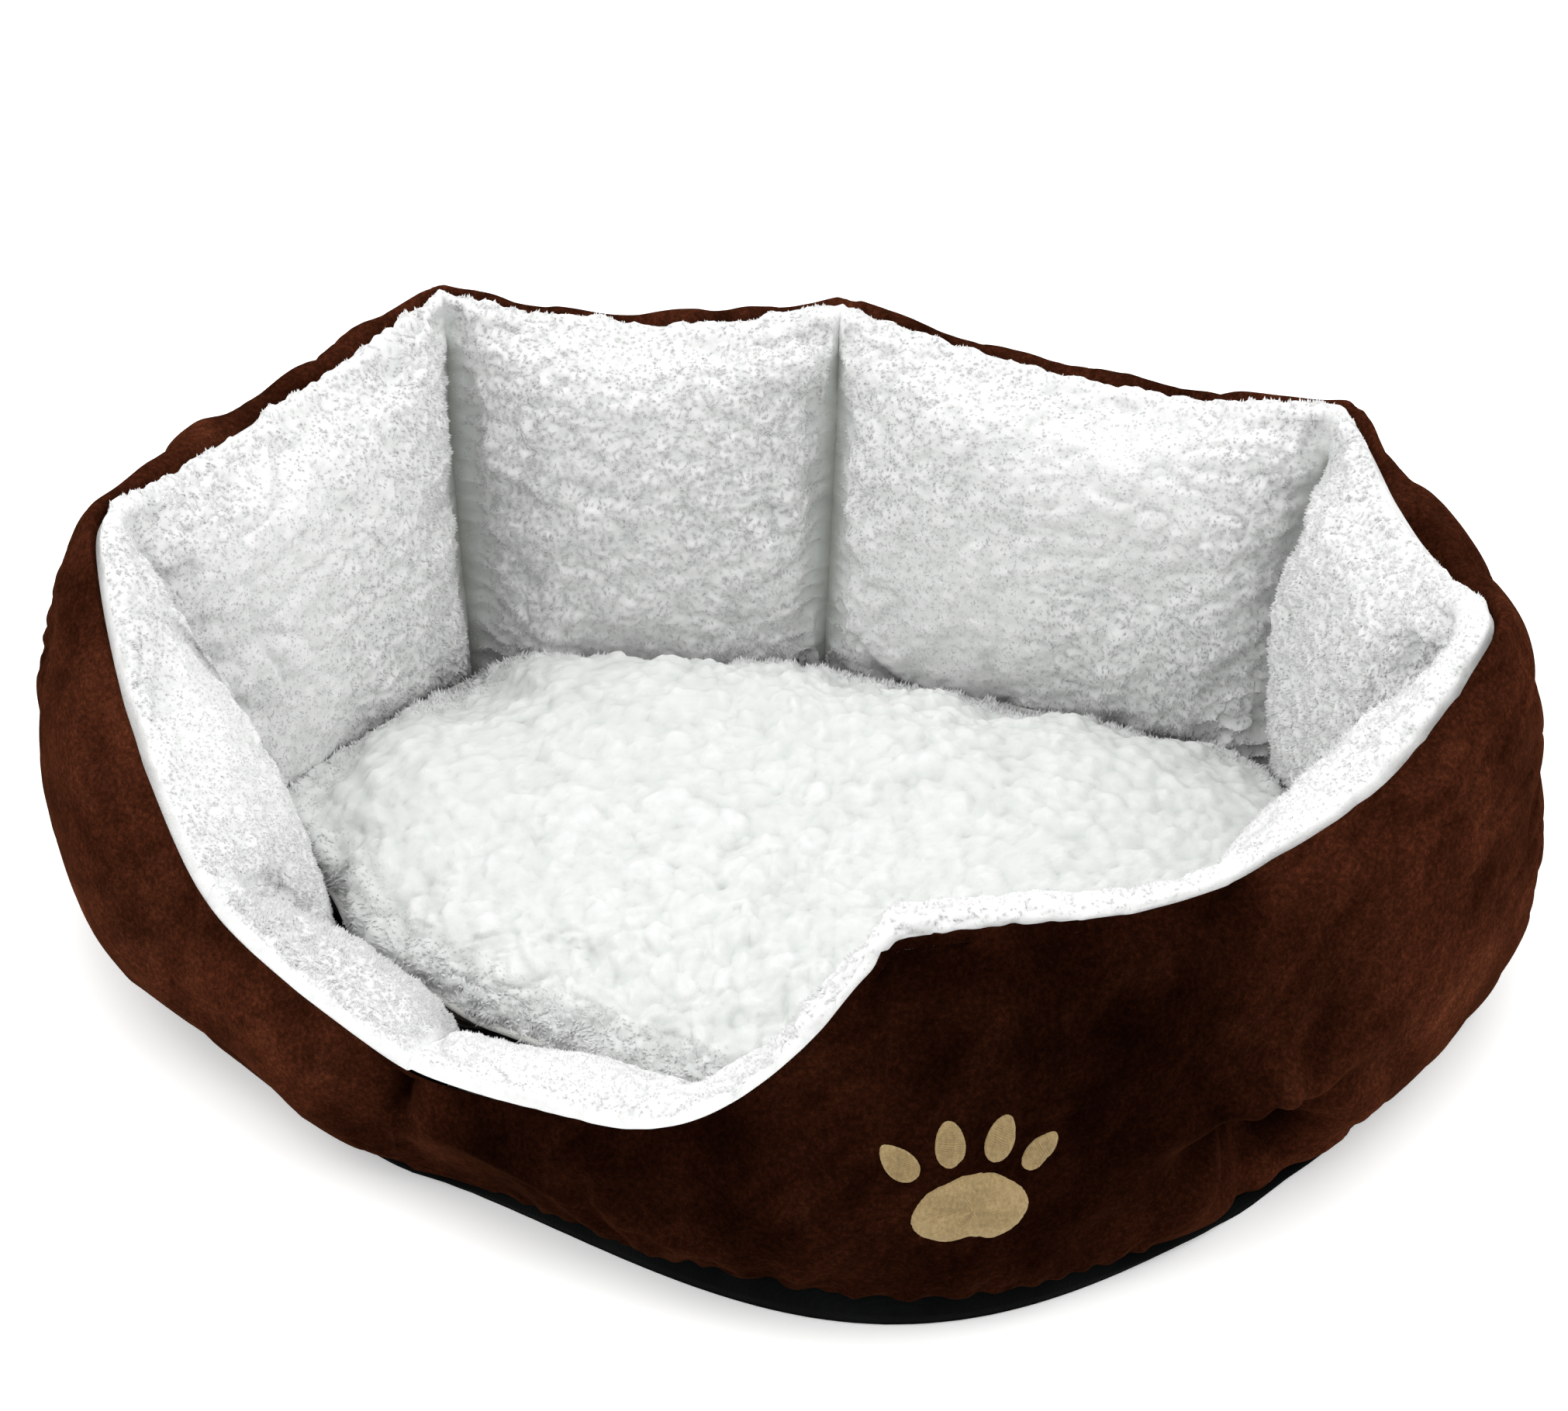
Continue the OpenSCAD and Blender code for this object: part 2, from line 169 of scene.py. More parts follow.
def curve_through(knots, n):
    """n + 1 points evenly spread along a Catmull-Rom curve; knots is (u, knot, xyz)."""
    padded = np.concatenate([2 * knots[:, :1] - knots[:, 1:2], knots,
                             2 * knots[:, -1:] - knots[:, -2:-1]], axis=1)
    fine = []
    t = np.linspace(0, 1, 16, endpoint=False)[:, None, None]
    for j in range(1, padded.shape[1] - 2):
        p0, p1, p2, p3 = (padded[:, j + d] for d in (-1, 0, 1, 2))
        fine.append(0.5 * (2 * p1 + (p2 - p0) * t + (2 * p0 - 5 * p1 + 4 * p2 - p3) * t ** 2
                           + (3 * p1 - p0 - 3 * p2 + p3) * t ** 3))
    fine.append(padded[None, :, -2])
    line = np.concatenate(fine, axis=0).transpose(1, 0, 2)
    out = np.empty((line.shape[0], n + 1, 3))
    for i, run in enumerate(line):
        s = np.concatenate([[0], np.cumsum(np.linalg.norm(np.diff(run, axis=0), axis=1))])
        at = np.linspace(0, s[-1], n + 1)
        for axis in range(3):
            out[i, :, axis] = np.interp(at, s, run[:, axis])
    return out


def lining_inset(k, u, share, tight):
    """How far a level of the lining stands in from the wall's base line, as a negative offset."""
    t_seam = along_chamber(seam_thickness(k), seam_thickness(k + 1), u)
    pinch = along_chamber(CORNERS[k, 6], CORNERS[(k + 1) % N, 6], u)
    seam = share * t_seam * (1 - pinch) + tight * pinch
    return -(seam + (share * CHAMBERS[k][4] - seam) * swell(u))


def section_knots(k, u):
    """The outer run and the lining run of chamber k at shares u, as (u, knot, xyz)."""
    base, rim, out = base_line(k, u), rim_line(k, u), outward(k, u)
    top = rim_height(k, u) / RIM_SHARE
    b = along_chamber(CORNERS[k, 5], CORNERS[(k + 1) % N, 5], u)
    belly = b + (CHAMBERS[k][5] - b) * swell(u)
    uneven = 0.85 + 0.2 * np.sin(4 * np.pi * u + 2 * k) + 0.1 * np.sin(9 * np.pi * u + k)
    ends = CORNER_ROLL[k] * (1 - u) ** 6 + CORNER_ROLL[(k + 1) % N] * u ** 6
    roll = ROLL[k] * swell(u) ** 1.6 * uneven + ends

    def point(w, off, floor, up=0.0):
        xy = base + (rim - base) * w + out * off[:, None]
        return np.column_stack([xy, floor + (top - floor) * w + up])

    floor = turn_up(k, u)
    outer = [point(w, share * belly, floor) for w, share in OUTER[:-1]]
    outer[-1] = point(OUTER[-2, 0], OUTER[-2, 1] * belly + 0.7 * roll, floor)
    outer.append(point(1.0, 0.75 * roll, floor, 0.25 * roll - 0.002))
    outer.append(point(OUTER[-1, 0], -0.35 * roll, floor, 0.35 * roll))
    lining = [outer[-1]]
    for w, share, tight in LINING[1:]:
        off = lining_inset(k, u, share, tight) - 0.25 * roll
        lining.append(point(w, off, np.full_like(u, WALL_Z)))
    return [np.stack(outer, axis=1), np.stack(lining, axis=1)]


def design_centre():
    u = np.linspace(0, 1, 24)
    xy = np.concatenate([section_knots(k, u)[0][..., :2].reshape(-1, 2) for k in range(N)])
    return middle_of(xy), xy.max(0) - xy.min(0)


# The design's own middle and width are laid onto the frame's, so the looks follow its size.
CENTRE, SPAN = design_centre()
walls = [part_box("outer_panel_" + n) for n in NAMES]
frame_lo = np.min([np.array(b[0]) for b in walls], axis=0)
frame_hi = np.max([np.array(b[1]) for b in walls], axis=0)
FRAME_SCALE = float((frame_hi[0] - frame_lo[0]) / SPAN[0])
FRAME_MID = (frame_lo + frame_hi) / 2


def placed(p):
    q = p.copy()
    q[..., 0] = (q[..., 0] - CENTRE[0]) * FRAME_SCALE + FRAME_MID[0]
    q[..., 1] = (q[..., 1] - CENTRE[1]) * FRAME_SCALE + FRAME_MID[1]
    q[..., 2] = q[..., 2] * FRAME_SCALE
    return q


# ---------------------------------------------------------------- noise
def hashed(ix, iy, iz, seed):
    h = (ix * 374761393 + iy * 668265263 + iz * 1442695041 + seed * 974634777) & 0xFFFFFFFF
    h = ((h ^ (h >> 13)) * 1274126177) & 0xFFFFFFFF
    return ((h ^ (h >> 16)) & 0xFFFFFF) / float(0x1000000)


def noise(p, size, seed):
    """Smooth value noise from -1 to 1 at points p, with features of that size."""
    q = p / size
    i = np.floor(q).astype(np.int64)
    f = q - i
    f = f * f * (3 - 2 * f)
    total = 0
    for dx in (0, 1):
        for dy in (0, 1):
            for dz in (0, 1):
                w = (np.where(dx, f[..., 0], 1 - f[..., 0])
                     * np.where(dy, f[..., 1], 1 - f[..., 1])
                     * np.where(dz, f[..., 2], 1 - f[..., 2]))
                total = total + w * hashed(i[..., 0] + dx, i[..., 1] + dy, i[..., 2] + dz, seed)
    return total * 2 - 1


def cells(p, size, seed):
    """The nearest scattered point: its distance in cells, its own number, and the way to it."""
    q = p / size
    i = np.floor(q).astype(np.int64)
    best = np.full(q.shape[:-1], 9.0)
    label = np.zeros(q.shape[:-1])
    way = np.zeros(q.shape)
    for dx in (-1, 0, 1):
        for dy in (-1, 0, 1):
            for dz in (-1, 0, 1):
                c = [i[..., 0] + dx, i[..., 1] + dy, i[..., 2] + dz]
                to = np.stack([c[a] + hashed(*c, seed + a) - q[..., a] for a in range(3)], -1)
                d = (to ** 2).sum(-1)
                near = d < best
                best = np.where(near, d, best)
                label = np.where(near, hashed(*c, seed + 7), label)
                way = np.where(near[..., None], to, way)
    return np.sqrt(best), label, way


def fleece_height(p, clump):
    """Height of the pile, from 0 in the gaps to about 1 on the curls, and the way curls lean."""
    warp = np.stack([noise(p, clump * 0.9, s) for s in (11, 12, 13)], axis=-1)
    q = p + warp * clump * 0.28
    d, label, way = cells(q, clump, 21)
    big = np.clip(1 - (d / 0.95) ** 2, 0, 1) * (0.45 + 0.55 * label)
    d, label, _ = cells(q, clump * 0.45, 31)
    small = np.clip(1 - (d / 0.9) ** 2, 0, 1) * (0.4 + 0.6 * label)
    fine = 0.5 + 0.5 * noise(q, clump * 0.28, 41)
    return np.clip(0.62 * big + 0.26 * small + 0.12 * fine, 0, 1), way


# ---------------------------------------------------------------- meshes
def grid_faces(nu, nv):
    i, j = np.meshgrid(np.arange(nu - 1), np.arange(nv - 1), indexing="ij")
    a = (i * nv + j).ravel()
    return np.column_stack([a, a + nv, a + nv + 1, a + 1])


def ring_faces(nu, nv, closed=False):
    """Quads of nu closed rings of nv points each, closed into a loop if wanted."""
    i, j = np.meshgrid(np.arange(nu if closed else nu - 1), np.arange(nv), indexing="ij")
    after = (i + 1) % nu * nv
    a, b = i * nv + j, i * nv + (j + 1) % nv
    c, d = after + (j + 1) % nv, after + j
    return np.column_stack([a.ravel(), d.ravel(), c.ravel(), b.ravel()])


def closed_rings(nu, nv):
    """Faces of a stack of closed rings, capped at both ends."""
    return ring_faces(nu, nv).tolist() + [
        list(range(nv)), [(nu - 1) * nv + nv - 1 - j for j in range(nv)]]


def moved(faces, first):
    """The same faces, for points that start at number first."""
    return [[v + first for v in f] for f in faces]


def new_object(name, points, faces):
    mesh = bpy.data.meshes.new(name)
    mesh.from_pydata(points.reshape(-1, 3).tolist(), [], [list(f) for f in faces])
    mesh.validate()
    mesh.polygons.foreach_set("use_smooth", np.ones(len(mesh.polygons), bool))
    obj = bpy.data.objects.new(name, mesh)
    bpy.context.scene.collection.objects.link(obj)
    return obj


def add_attribute(obj, name, values):
    layer = obj.data.attributes.new(name, "FLOAT", "POINT")
    layer.data.foreach_set("value", np.asarray(values, np.float32).ravel())


def resample(grid, nu, nv):
    """A finer grid of nu by nv points on the Catmull-Rom surface through grid."""
    def along(g, n):
        g = np.concatenate([2 * g[:1] - g[1:2], g, 2 * g[-1:] - g[-2:-1]])
        at = np.linspace(0, g.shape[0] - 3, n)
        i = np.minimum(at.astype(int), g.shape[0] - 4)
        t = (at - i)[:, None, None]
        p0, p1, p2, p3 = g[i], g[i + 1], g[i + 2], g[i + 3]
        return 0.5 * (2 * p1 + (p2 - p0) * t + (2 * p0 - 5 * p1 + 4 * p2 - p3) * t ** 2
                      + (3 * p1 - p0 - 3 * p2 + p3) * t ** 3)
    return along(along(grid, nu).transpose(1, 0, 2), nv).transpose(1, 0, 2)


def grid_normals(g):
    return unit(np.cross(np.gradient(g, axis=0), np.gradient(g, axis=1)))


def arc(g, axis):
    """Distance along the grid's lines from their start, in metres."""
    d = np.linalg.norm(np.diff(g, axis=axis), axis=-1)
    zero = np.zeros_like(np.take(d, [0], axis=axis))
    return np.concatenate([zero, np.cumsum(d, axis=axis)], axis=axis)


# ---------------------------------------------------------------- swollen chambers
COARSE = 4.5 * MM
OUTER_STEPS, LINING_STEPS, FLOOR_STEPS = 44, 56, 8


def chamber_grid(k):
    """Closed rings of chamber k: up the outside, over the rim, down the inside, and back."""
    length = np.linalg.norm(CORNERS[(k + 1) % N, :2] - CORNERS[k, :2])
    n = int(length * (1.12 if k == FRONT else 1.0) / COARSE)
    t = np.linspace(0, 1, n)
    u = 0.5 * (1 - np.cos(np.pi * t)) * 0.35 + t * 0.65
    outer, lining = section_knots(k, u)
    up, down = curve_through(outer, OUTER_STEPS), curve_through(lining, LINING_STEPS)
    share = np.linspace(0, 1, FLOOR_STEPS + 1)[1:-1][None, :, None]
    back = down[:, -1:] + (up[:, :1] - down[:, -1:]) * share
    return placed(np.concatenate([up, down[:, 1:], back], axis=1))


PRESSURE, FRAMES = 3.0, 18
STRETCH_STIFFNESS, SHEAR_STIFFNESS, BEND_STIFFNESS = 12, 4, 0.4
# Negative shrinking: the cloth may grow by this share.
CLOTH_GROWTH = -0.035
SWELL_CAP = 7 * MM
# Grid rows beside the rim seam over which the swelling grows to its full size.
RIM_CALM = 4


def simulated(rest, faces, held):
    """Where cloth under pressure ends up, with the held points fixed."""
    obj = new_object("swelling", rest, faces)
    group = obj.vertex_groups.new(name="held")
    group.add(np.nonzero(held)[0].tolist(), 1.0, "REPLACE")
    cloth = obj.modifiers.new("cloth", "CLOTH")
    s = cloth.settings
    s.quality = 5
    s.mass = 0.2
    s.tension_stiffness = s.compression_stiffness = STRETCH_STIFFNESS
    s.shear_stiffness = SHEAR_STIFFNESS
    s.bending_stiffness = BEND_STIFFNESS
    s.use_pressure = True
    s.uniform_pressure_force = PRESSURE
    s.shrink_min = CLOTH_GROWTH
    s.vertex_group_mass = "held"
    s.effector_weights.gravity = 0
    cloth.point_cache.frame_start, cloth.point_cache.frame_end = 1, FRAMES
    for f in range(1, FRAMES + 1):
        bpy.context.scene.frame_set(f)
    done = obj.evaluated_get(bpy.context.evaluated_depsgraph_get())
    co = np.empty(len(rest) * 3, np.float32)
    done.data.vertices.foreach_get("co", co)
    bpy.data.objects.remove(obj)
    bpy.context.scene.frame_set(1)
    return co


def swell_by_cloth(grids, mat_top, mat_low):
    """Blows the chambers and the mat up together as cloth, held at every seam."""
    points, faces, held, first = [], [], [], 0
    for g in grids:
        nu, nv = g.shape[:2]
        faces += moved(closed_rings(nu, nv), first)
        pin = np.zeros((nu, nv), bool)
        pin[[0, -1]] = True
        pin[:, [0, OUTER_STEPS]] = True
        pin[:, OUTER_STEPS + LINING_STEPS:] = True
        held.append(pin.ravel())
        points.append(g.reshape(-1, 3))
        first += nu * nv
    n = MAT_GRID
    for half, way in ((mat_top, 1), (mat_low, -1)):
        faces += (grid_faces(n, n)[:, ::way] + first).tolist()
        rim = np.zeros((n, n), bool)
        rim[[0, -1]] = rim[:, [0, -1]] = True
        held.append((rim | (half[..., 2] < MAT_LO + 1 * MM)).ravel())
        points.append(half.reshape(-1, 3))
        first += n * n
    rest = np.concatenate(points)
    co = simulated(rest, faces, np.concatenate(held))
    move = co.reshape(-1, 3).astype(float) - rest
    far = np.linalg.norm(move, axis=1, keepdims=True)
    move *= SWELL_CAP * np.tanh(far / SWELL_CAP) / np.maximum(far, 1e-9)
    out, first = [], 0
    for piece, g in enumerate([*grids, mat_top, mat_low]):
        count = g.shape[0] * g.shape[1]
        shift = move[first:first + count].reshape(g.shape)
        if piece < N:
            from_rim = np.abs(np.arange(g.shape[1]) - OUTER_STEPS)
            shift = shift * smooth(0, RIM_CALM, from_rim)[None, :, None]
        out.append(g + shift)
        first += count
    return out[:N], out[N], out[N + 1]


# ---------------------------------------------------------------- materials
def shader(name, roughness, sheen, sheen_roughness, tint):
    mat = bpy.data.materials.new(name)
    mat.use_nodes = True
    bsdf = mat.node_tree.nodes["Principled BSDF"]
    bsdf.inputs["Roughness"].default_value = roughness
    bsdf.inputs["Specular IOR Level"].default_value = 0.2
    bsdf.inputs["Sheen Weight"].default_value = sheen
    bsdf.inputs["Sheen Roughness"].default_value = sheen_roughness
    bsdf.inputs["Sheen Tint"].default_value = (*tint, 1)
    return mat, mat.node_tree.nodes, mat.node_tree.links, bsdf


def noise_node(nodes, links, scale, detail=2.0, rough=0.5, distortion=0.0, stretch=None):
    where = nodes.new("ShaderNodeTexCoord").outputs["Object"]
    if stretch is not None:
        mapping = nodes.new("ShaderNodeMapping")
        mapping.inputs["Scale"].default_value = stretch
        links.new(where, mapping.inputs["Vector"])
        where = mapping.outputs["Vector"]
    node = nodes.new("ShaderNodeTexNoise")
    node.inputs["Scale"].default_value = scale
    node.inputs["Detail"].default_value = detail
    node.inputs["Roughness"].default_value = rough
    node.inputs["Distortion"].default_value = distortion
    links.new(where, node.inputs["Vector"])
    return node.outputs["Fac"]


def ramp(nodes, links, value, stops):
    node = nodes.new("ShaderNodeValToRGB")
    node.color_ramp.elements[0].position = stops[0][0]
    node.color_ramp.elements[0].color = (*stops[0][1], 1)
    node.color_ramp.elements[1].position = stops[-1][0]
    node.color_ramp.elements[1].color = (*stops[-1][1], 1)
    for at, colour in stops[1:-1]:
        node.color_ramp.elements.new(at).color = (*colour, 1)
    links.new(value, node.inputs["Fac"])
    return node.outputs["Color"]


def mixed(nodes, links, kind, factor, a, b):
    node = nodes.new("ShaderNodeMix")
    node.data_type = "RGBA"
    node.blend_type = kind
    if isinstance(factor, float):
        node.inputs["Factor"].default_value = factor
    else:
        links.new(factor, node.inputs["Factor"])
    for socket, value in ((node.inputs["A"], a), (node.inputs["B"], b)):
        if isinstance(value, tuple):
            socket.default_value = (*value, 1)
        else:
            links.new(value, socket)
    return node.outputs["Result"]


def bump(nodes, links, bsdf, layers):
    """Stacks (height, strength, distance) layers into the shader's normal."""
    normal = None
    for height, strength, distance in layers:
        node = nodes.new("ShaderNodeBump")
        node.inputs["Strength"].default_value = strength
        node.inputs["Distance"].default_value = distance
        links.new(height, node.inputs["Height"])
        if normal is not None:
            links.new(normal, node.inputs["Normal"])
        normal = node.outputs["Normal"]
    links.new(normal, bsdf.inputs["Normal"])


def attribute(nodes, name):
    node = nodes.new("ShaderNodeAttribute")
    node.attribute_name = name
    return node.outputs["Fac"]


def suede_material():
    mat, nodes, links, bsdf = shader("suede", 1.0, 0.08, 0.3, (0.45, 0.17, 0.08))
    bsdf.inputs["Specular IOR Level"].default_value = 0.0
    patches = noise_node(nodes, links, 26, 2, 0.5, 0.4)
    nap_and_painted_light = ramp(nodes, links, patches, [
        (0.30, (0.040, 0.0105, 0.0047)), (0.52, (0.062, 0.0165, 0.0074)),
        (0.72, (0.092, 0.0260, 0.0120))])
    grain = ramp(nodes, links, noise_node(nodes, links, 520, 4, 0.8),
                 [(0.33, (0.35, 0.35, 0.35)), (0.50, (0.90, 0.90, 0.90)), (0.68, (2.0, 2.0, 2.0))])
    # The per-point nap brightness, with the painted shade and painted highlights of the panels,
    # folds, pocket and notch.
    brushed_nap_and_painted_light = ramp(nodes, links, attribute(nodes, "nap_and_painted_light"),
                   [(0.0, (0, 0, 0)), (1.0, (1, 1, 1))])
    speckled = mixed(nodes, links, "MULTIPLY", 0.75, nap_and_painted_light, grain)
    links.new(mixed(nodes, links, "MULTIPLY", 1.0, speckled, brushed_nap_and_painted_light), bsdf.inputs["Base Color"])
    bump(nodes, links, bsdf, [
        (noise_node(nodes, links, 160, 3, 0.6), 0.25, 0.0016),
        (noise_node(nodes, links, 1700, 2, 0.6), 0.35, 0.0004)])
    return mat


def fleece_material():
    mat, nodes, links, bsdf = shader("fleece", 0.95, 0.15, 0.6, (1.0, 1.0, 1.0))
    # Painted shade from the pile attribute: dark in the gaps between clumps and in the corner
    # valleys, light on the curls.
    painted_shade_colour = ramp(nodes, links, attribute(nodes, "pile"),
                 [(0.0, (0.30, 0.31, 0.28)), (0.25, (0.60, 0.62, 0.60)),
                  (0.5, (0.72, 0.73, 0.72)), (0.85, (0.80, 0.80, 0.795))])
    links.new(painted_shade_colour, bsdf.inputs["Base Color"])
    bsdf.inputs["Subsurface Weight"].default_value = 0.25
    bsdf.inputs["Subsurface Radius"].default_value = (1.0, 0.95, 0.9)
    bsdf.inputs["Subsurface Scale"].default_value = 0.003
    bump(nodes, links, bsdf, [
        (noise_node(nodes, links, 420, 4, 0.7, 1.4), 0.35, 0.0012),
        (noise_node(nodes, links, 1300, 3, 0.7, 2.0), 0.4, 0.0005)])
    return mat


def cloth_material(name, dark, light, thread, rough=0.85, sheen=0.15):
    """Plain woven cloth: two crossed bands of threads with a slow change of shade."""
    mat, nodes, links, bsdf = shader(name, rough, sheen, 0.5, (1, 1, 1))
    bsdf.inputs["Specular IOR Level"].default_value = 0.03
    shade = ramp(nodes, links, noise_node(nodes, links, 35, 3), [(0.3, dark), (0.7, light)])
    where = nodes.new("ShaderNodeTexCoord").outputs["Object"]
    heights = []
    for direction in ("X", "Y"):
        wave = nodes.new("ShaderNodeTexWave")
        wave.bands_direction = direction
        wave.inputs["Scale"].default_value = 0.314 / thread
        wave.inputs["Distortion"].default_value = 0.6
        links.new(where, wave.inputs["Vector"])
        heights.append(wave.outputs["Fac"])
    weave = nodes.new("ShaderNodeMath")
    weave.operation = "MAXIMUM"
    links.new(heights[0], weave.inputs[0])
    links.new(heights[1], weave.inputs[1])
    tone = ramp(nodes, links, weave.outputs[0], [(0.2, (0.7, 0.7, 0.7)), (0.9, (1.1, 1.1, 1.1))])
    links.new(mixed(nodes, links, "MULTIPLY", 0.8, shade, tone), bsdf.inputs["Base Color"])
    bump(nodes, links, bsdf, [(weave.outputs[0], 0.5, 0.0003)])
    return mat


def embroidery_material():
    mat, nodes, links, bsdf = shader("embroidery", 0.55, 0.25, 0.35, (1.0, 0.9, 0.7))
    strands = noise_node(nodes, links, 900, 3, 0.6, stretch=(1, 1, 0.55))
    links.new(ramp(nodes, links, strands, [
        (0.25, (0.205, 0.140, 0.062)), (0.55, (0.285, 0.203, 0.092)),
        (0.8, (0.355, 0.262, 0.126))]), bsdf.inputs["Base Color"])
    bump(nodes, links, bsdf, [(strands, 0.4, 0.0002)])
    return mat


def fibre_material():
    mat, nodes, links, bsdf = shader("fibre", 0.95, 0.3, 0.5, (1, 1, 1))
    links.new(ramp(nodes, links, noise_node(nodes, links, 90, 5, 0.7, 1.0), [
        (0.3, (0.62, 0.62, 0.60)), (0.7, (0.84, 0.84, 0.82))]), bsdf.inputs["Base Color"])
    bump(nodes, links, bsdf, [(noise_node(nodes, links, 500, 4, 0.7, 2.0), 0.6, 0.002)])
    return mat


SUEDE = suede_material()
FLEECE = fleece_material()
# The base cloth is near black: partly its own black, partly painted shadow, made darker than black
# cloth to stand in for the contact shadow under the front.
BASE_CLOTH_WITH_PAINTED_SHADOW = cloth_material("base_cloth", (0.0010, 0.0013, 0.0012), (0.0030, 0.0036, 0.0034),
                            0.9 * MM, sheen=0.0)
FLOOR_CLOTH = cloth_material("floor_cloth", (0.012, 0.008, 0.006), (0.024, 0.015, 0.011), 0.8 * MM)
# The piping's mid grey is partly painted shade: kept darker than the fleece so the narrow gap
# between the mat and the lining looks shaded.
PIPING_WITH_PAINTED_SHADE = cloth_material("piping", (0.42, 0.42, 0.40), (0.55, 0.55, 0.53), 0.6 * MM)
EMBROIDERY = embroidery_material()
FIBRE = fibre_material()


def finished(obj, material, body, slot, *nodes):
    obj.data.materials.append(material)
    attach(obj, body)
    if nodes:
        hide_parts(*nodes)
    return obj


# ---------------------------------------------------------------- wall panels
SUEDE_STEP, FLEECE_STEP = 1.5 * MM, 1.25 * MM
PILE = 4.2 * MM
TUFT_W = 1.5 * MM
WALL_CLUMP = 8.5 * MM
WALL_TUFTS, WALL_TUFT_LENGTH = 12000, 1.8 * MM
# Tufts smaller than this share of full size are left out.
TUFT_MIN = 0.3
EASED_COLUMNS = 12
TUCK = 2.4 * MM
SEAM_DEPTH = 1.2 * MM
# Depth of the hollow along each corner seam inside.
VALLEY = [0.005, 0.007, 0.0075, 0.0075, 0.004, 0.003, 0.001, 0.003]
# How strongly each corner seam pulls the suede in. Corner 6 has a deep notch near the rim too.
PULL = [0.2, 1.0, 1.0, 1.0, 0.5, 0.1, 0.2, 0.0]
NOTCH_CORNER, NOTCH_PULL, NOTCH_WIDE = 6, 3.2, 4.5 * MM
# Brightness painted into each chamber's suede: painted shade makes the front much darker than the
# sides.
PANEL_PAINTED_SHADE = [1.08, 1.08, 1.08, 1.08, 1.12, 1.0, 0.32, 1.0]
PAINTED_SHADE_BLEND = 48 * MM


def fine_counts(g, step):
    return (int(arc(g, 0)[-1].max() / step) + 1, int(arc(g, 1)[:, -1].max() / step) + 1)


def edge_distance(g):
    """Distance from the two corner seams at the ends of the panel, in metres."""
    s = arc(g, 0)
    return np.minimum(s, s[-1:] - s)


def corner_normal(corner, tangent):
    """The direction across a corner seam that both panels beside it share."""
    m = mitre(corner)
    return unit(np.cross(np.array([-m[1], m[0], 0.0]), tangent))


def rim_normal(k, grid):
    """The direction across the rim seam that the suede and the fleece share."""
    a, b, c = grid[:, OUTER_STEPS - 1], grid[:, OUTER_STEPS], grid[:, OUTER_STEPS + 1]
    tangent = unit(b - a) + unit(c - b)
    n = unit(np.cross(np.gradient(b, axis=0), tangent))
    s = arc(b[:, None], 0)[:, 0]
    for corner, away, end in ((k, s, 0), (k + 1, s[-1] - s, -1)):
        w = bell(away, 6 * MM)[:, None]
        n = unit(n * (1 - w) + corner_normal(corner, tangent[end]) * w)
    return n


def panel_normals(k, g, rim, rim_n):
    """Surface normals that neighbours share along their seams; rim is the distance from it."""
    n = grid_normals(g)
    s = arc(g, 0)
    for corner, away, end in ((k, s, 0), (k + 1, s[-1:] - s, -1)):
        shared = corner_normal(corner, np.gradient(g[end], axis=0))
        w = bell(away, 5 * MM)[..., None]
        n = unit(n * (1 - w) + shared[None] * w)
    shared = unit(resample(np.stack([rim_n, rim_n], axis=1), g.shape[0], 2)[:, :1])
    w = bell(rim, 3.5 * MM)[..., None]
    return unit(n * (1 - w) + shared * w)


def tufts(g, n, way, size, count, length, width, seed):
    """Short tapered curls of pile that stand on a grid and gather into clumps."""
    rng = np.random.default_rng(seed)
    nu, nv = g.shape[:2]
    i, j = rng.integers(0, nu - 1, count), rng.integers(0, nv - 1, count)
    grown = size[i, j] > TUFT_MIN
    i, j = i[grown], j[grown]
    count = len(i)
    a, b = rng.random((2, count, 1))
    foot = (g[i, j] * (1 - a) * (1 - b) + g[i + 1, j] * a * (1 - b)
            + g[i, j + 1] * (1 - a) * b + g[i + 1, j + 1] * a * b)
    up = n[i, j]
    tip_way = unit(up + 1.1 * way[i, j] + 0.35 * unit(rng.normal(size=(count, 3))))
    x = unit(np.cross(up, rng.normal(size=(count, 3))))
    y = np.cross(up, x)
    half = width / 2 * (0.7 + 0.6 * rng.random((count, 1))) * size[i, j][:, None]
    points = np.empty((count, 4, 3))
    for c in range(3):
        turn = 2 * math.pi * c / 3
        points[:, c] = foot + (x * math.cos(turn) + y * math.sin(turn)) * half - up * 0.4 * MM
    tall = length * (0.5 + 0.7 * rng.random((count, 1))) * size[i, j][:, None]
    points[:, 3] = foot + tip_way * tall
    first = (np.arange(count) * 4)[:, None]
    faces = np.concatenate([first + [0, 1, 3], first + [1, 2, 3], first + [2, 0, 3]])
    return points.reshape(-1, 3), faces


def furred(name, g, n, pile, way, size, count, length, seed):
    """A fleece surface with its curls, and the painted shade of each point, which follows how high
    in the pile it sits.
    """
    nu, nv = g.shape[:2]
    points, faces = tufts(g, n, way, size, count, length, TUFT_W, seed)
    skin = grid_faces(nu, nv)
    obj = new_object(name, np.concatenate([g.reshape(-1, 3), points]),
                     skin.tolist() + (faces + nu * nv).tolist())
    # Painted shade on the tufts: darker at their feet, lighter at their tips.
    tuft_painted_shade = np.tile([0.55, 0.55, 0.55, 0.75], len(points) // 4)
    add_attribute(obj, "pile", np.concatenate([pile.ravel(), tuft_painted_shade]))
    return obj


PUCKER = 7
PUCKER_FULL, PUCKER_FLAP, PUCKER_DEPTH = 5 * MM, 8.5 * MM, 28 * MM


def pucker_foot(shift, height):
    return placed(np.array([[CORNERS[PUCKER, 3] + shift, CORNERS[PUCKER, 4], height]]))[0]


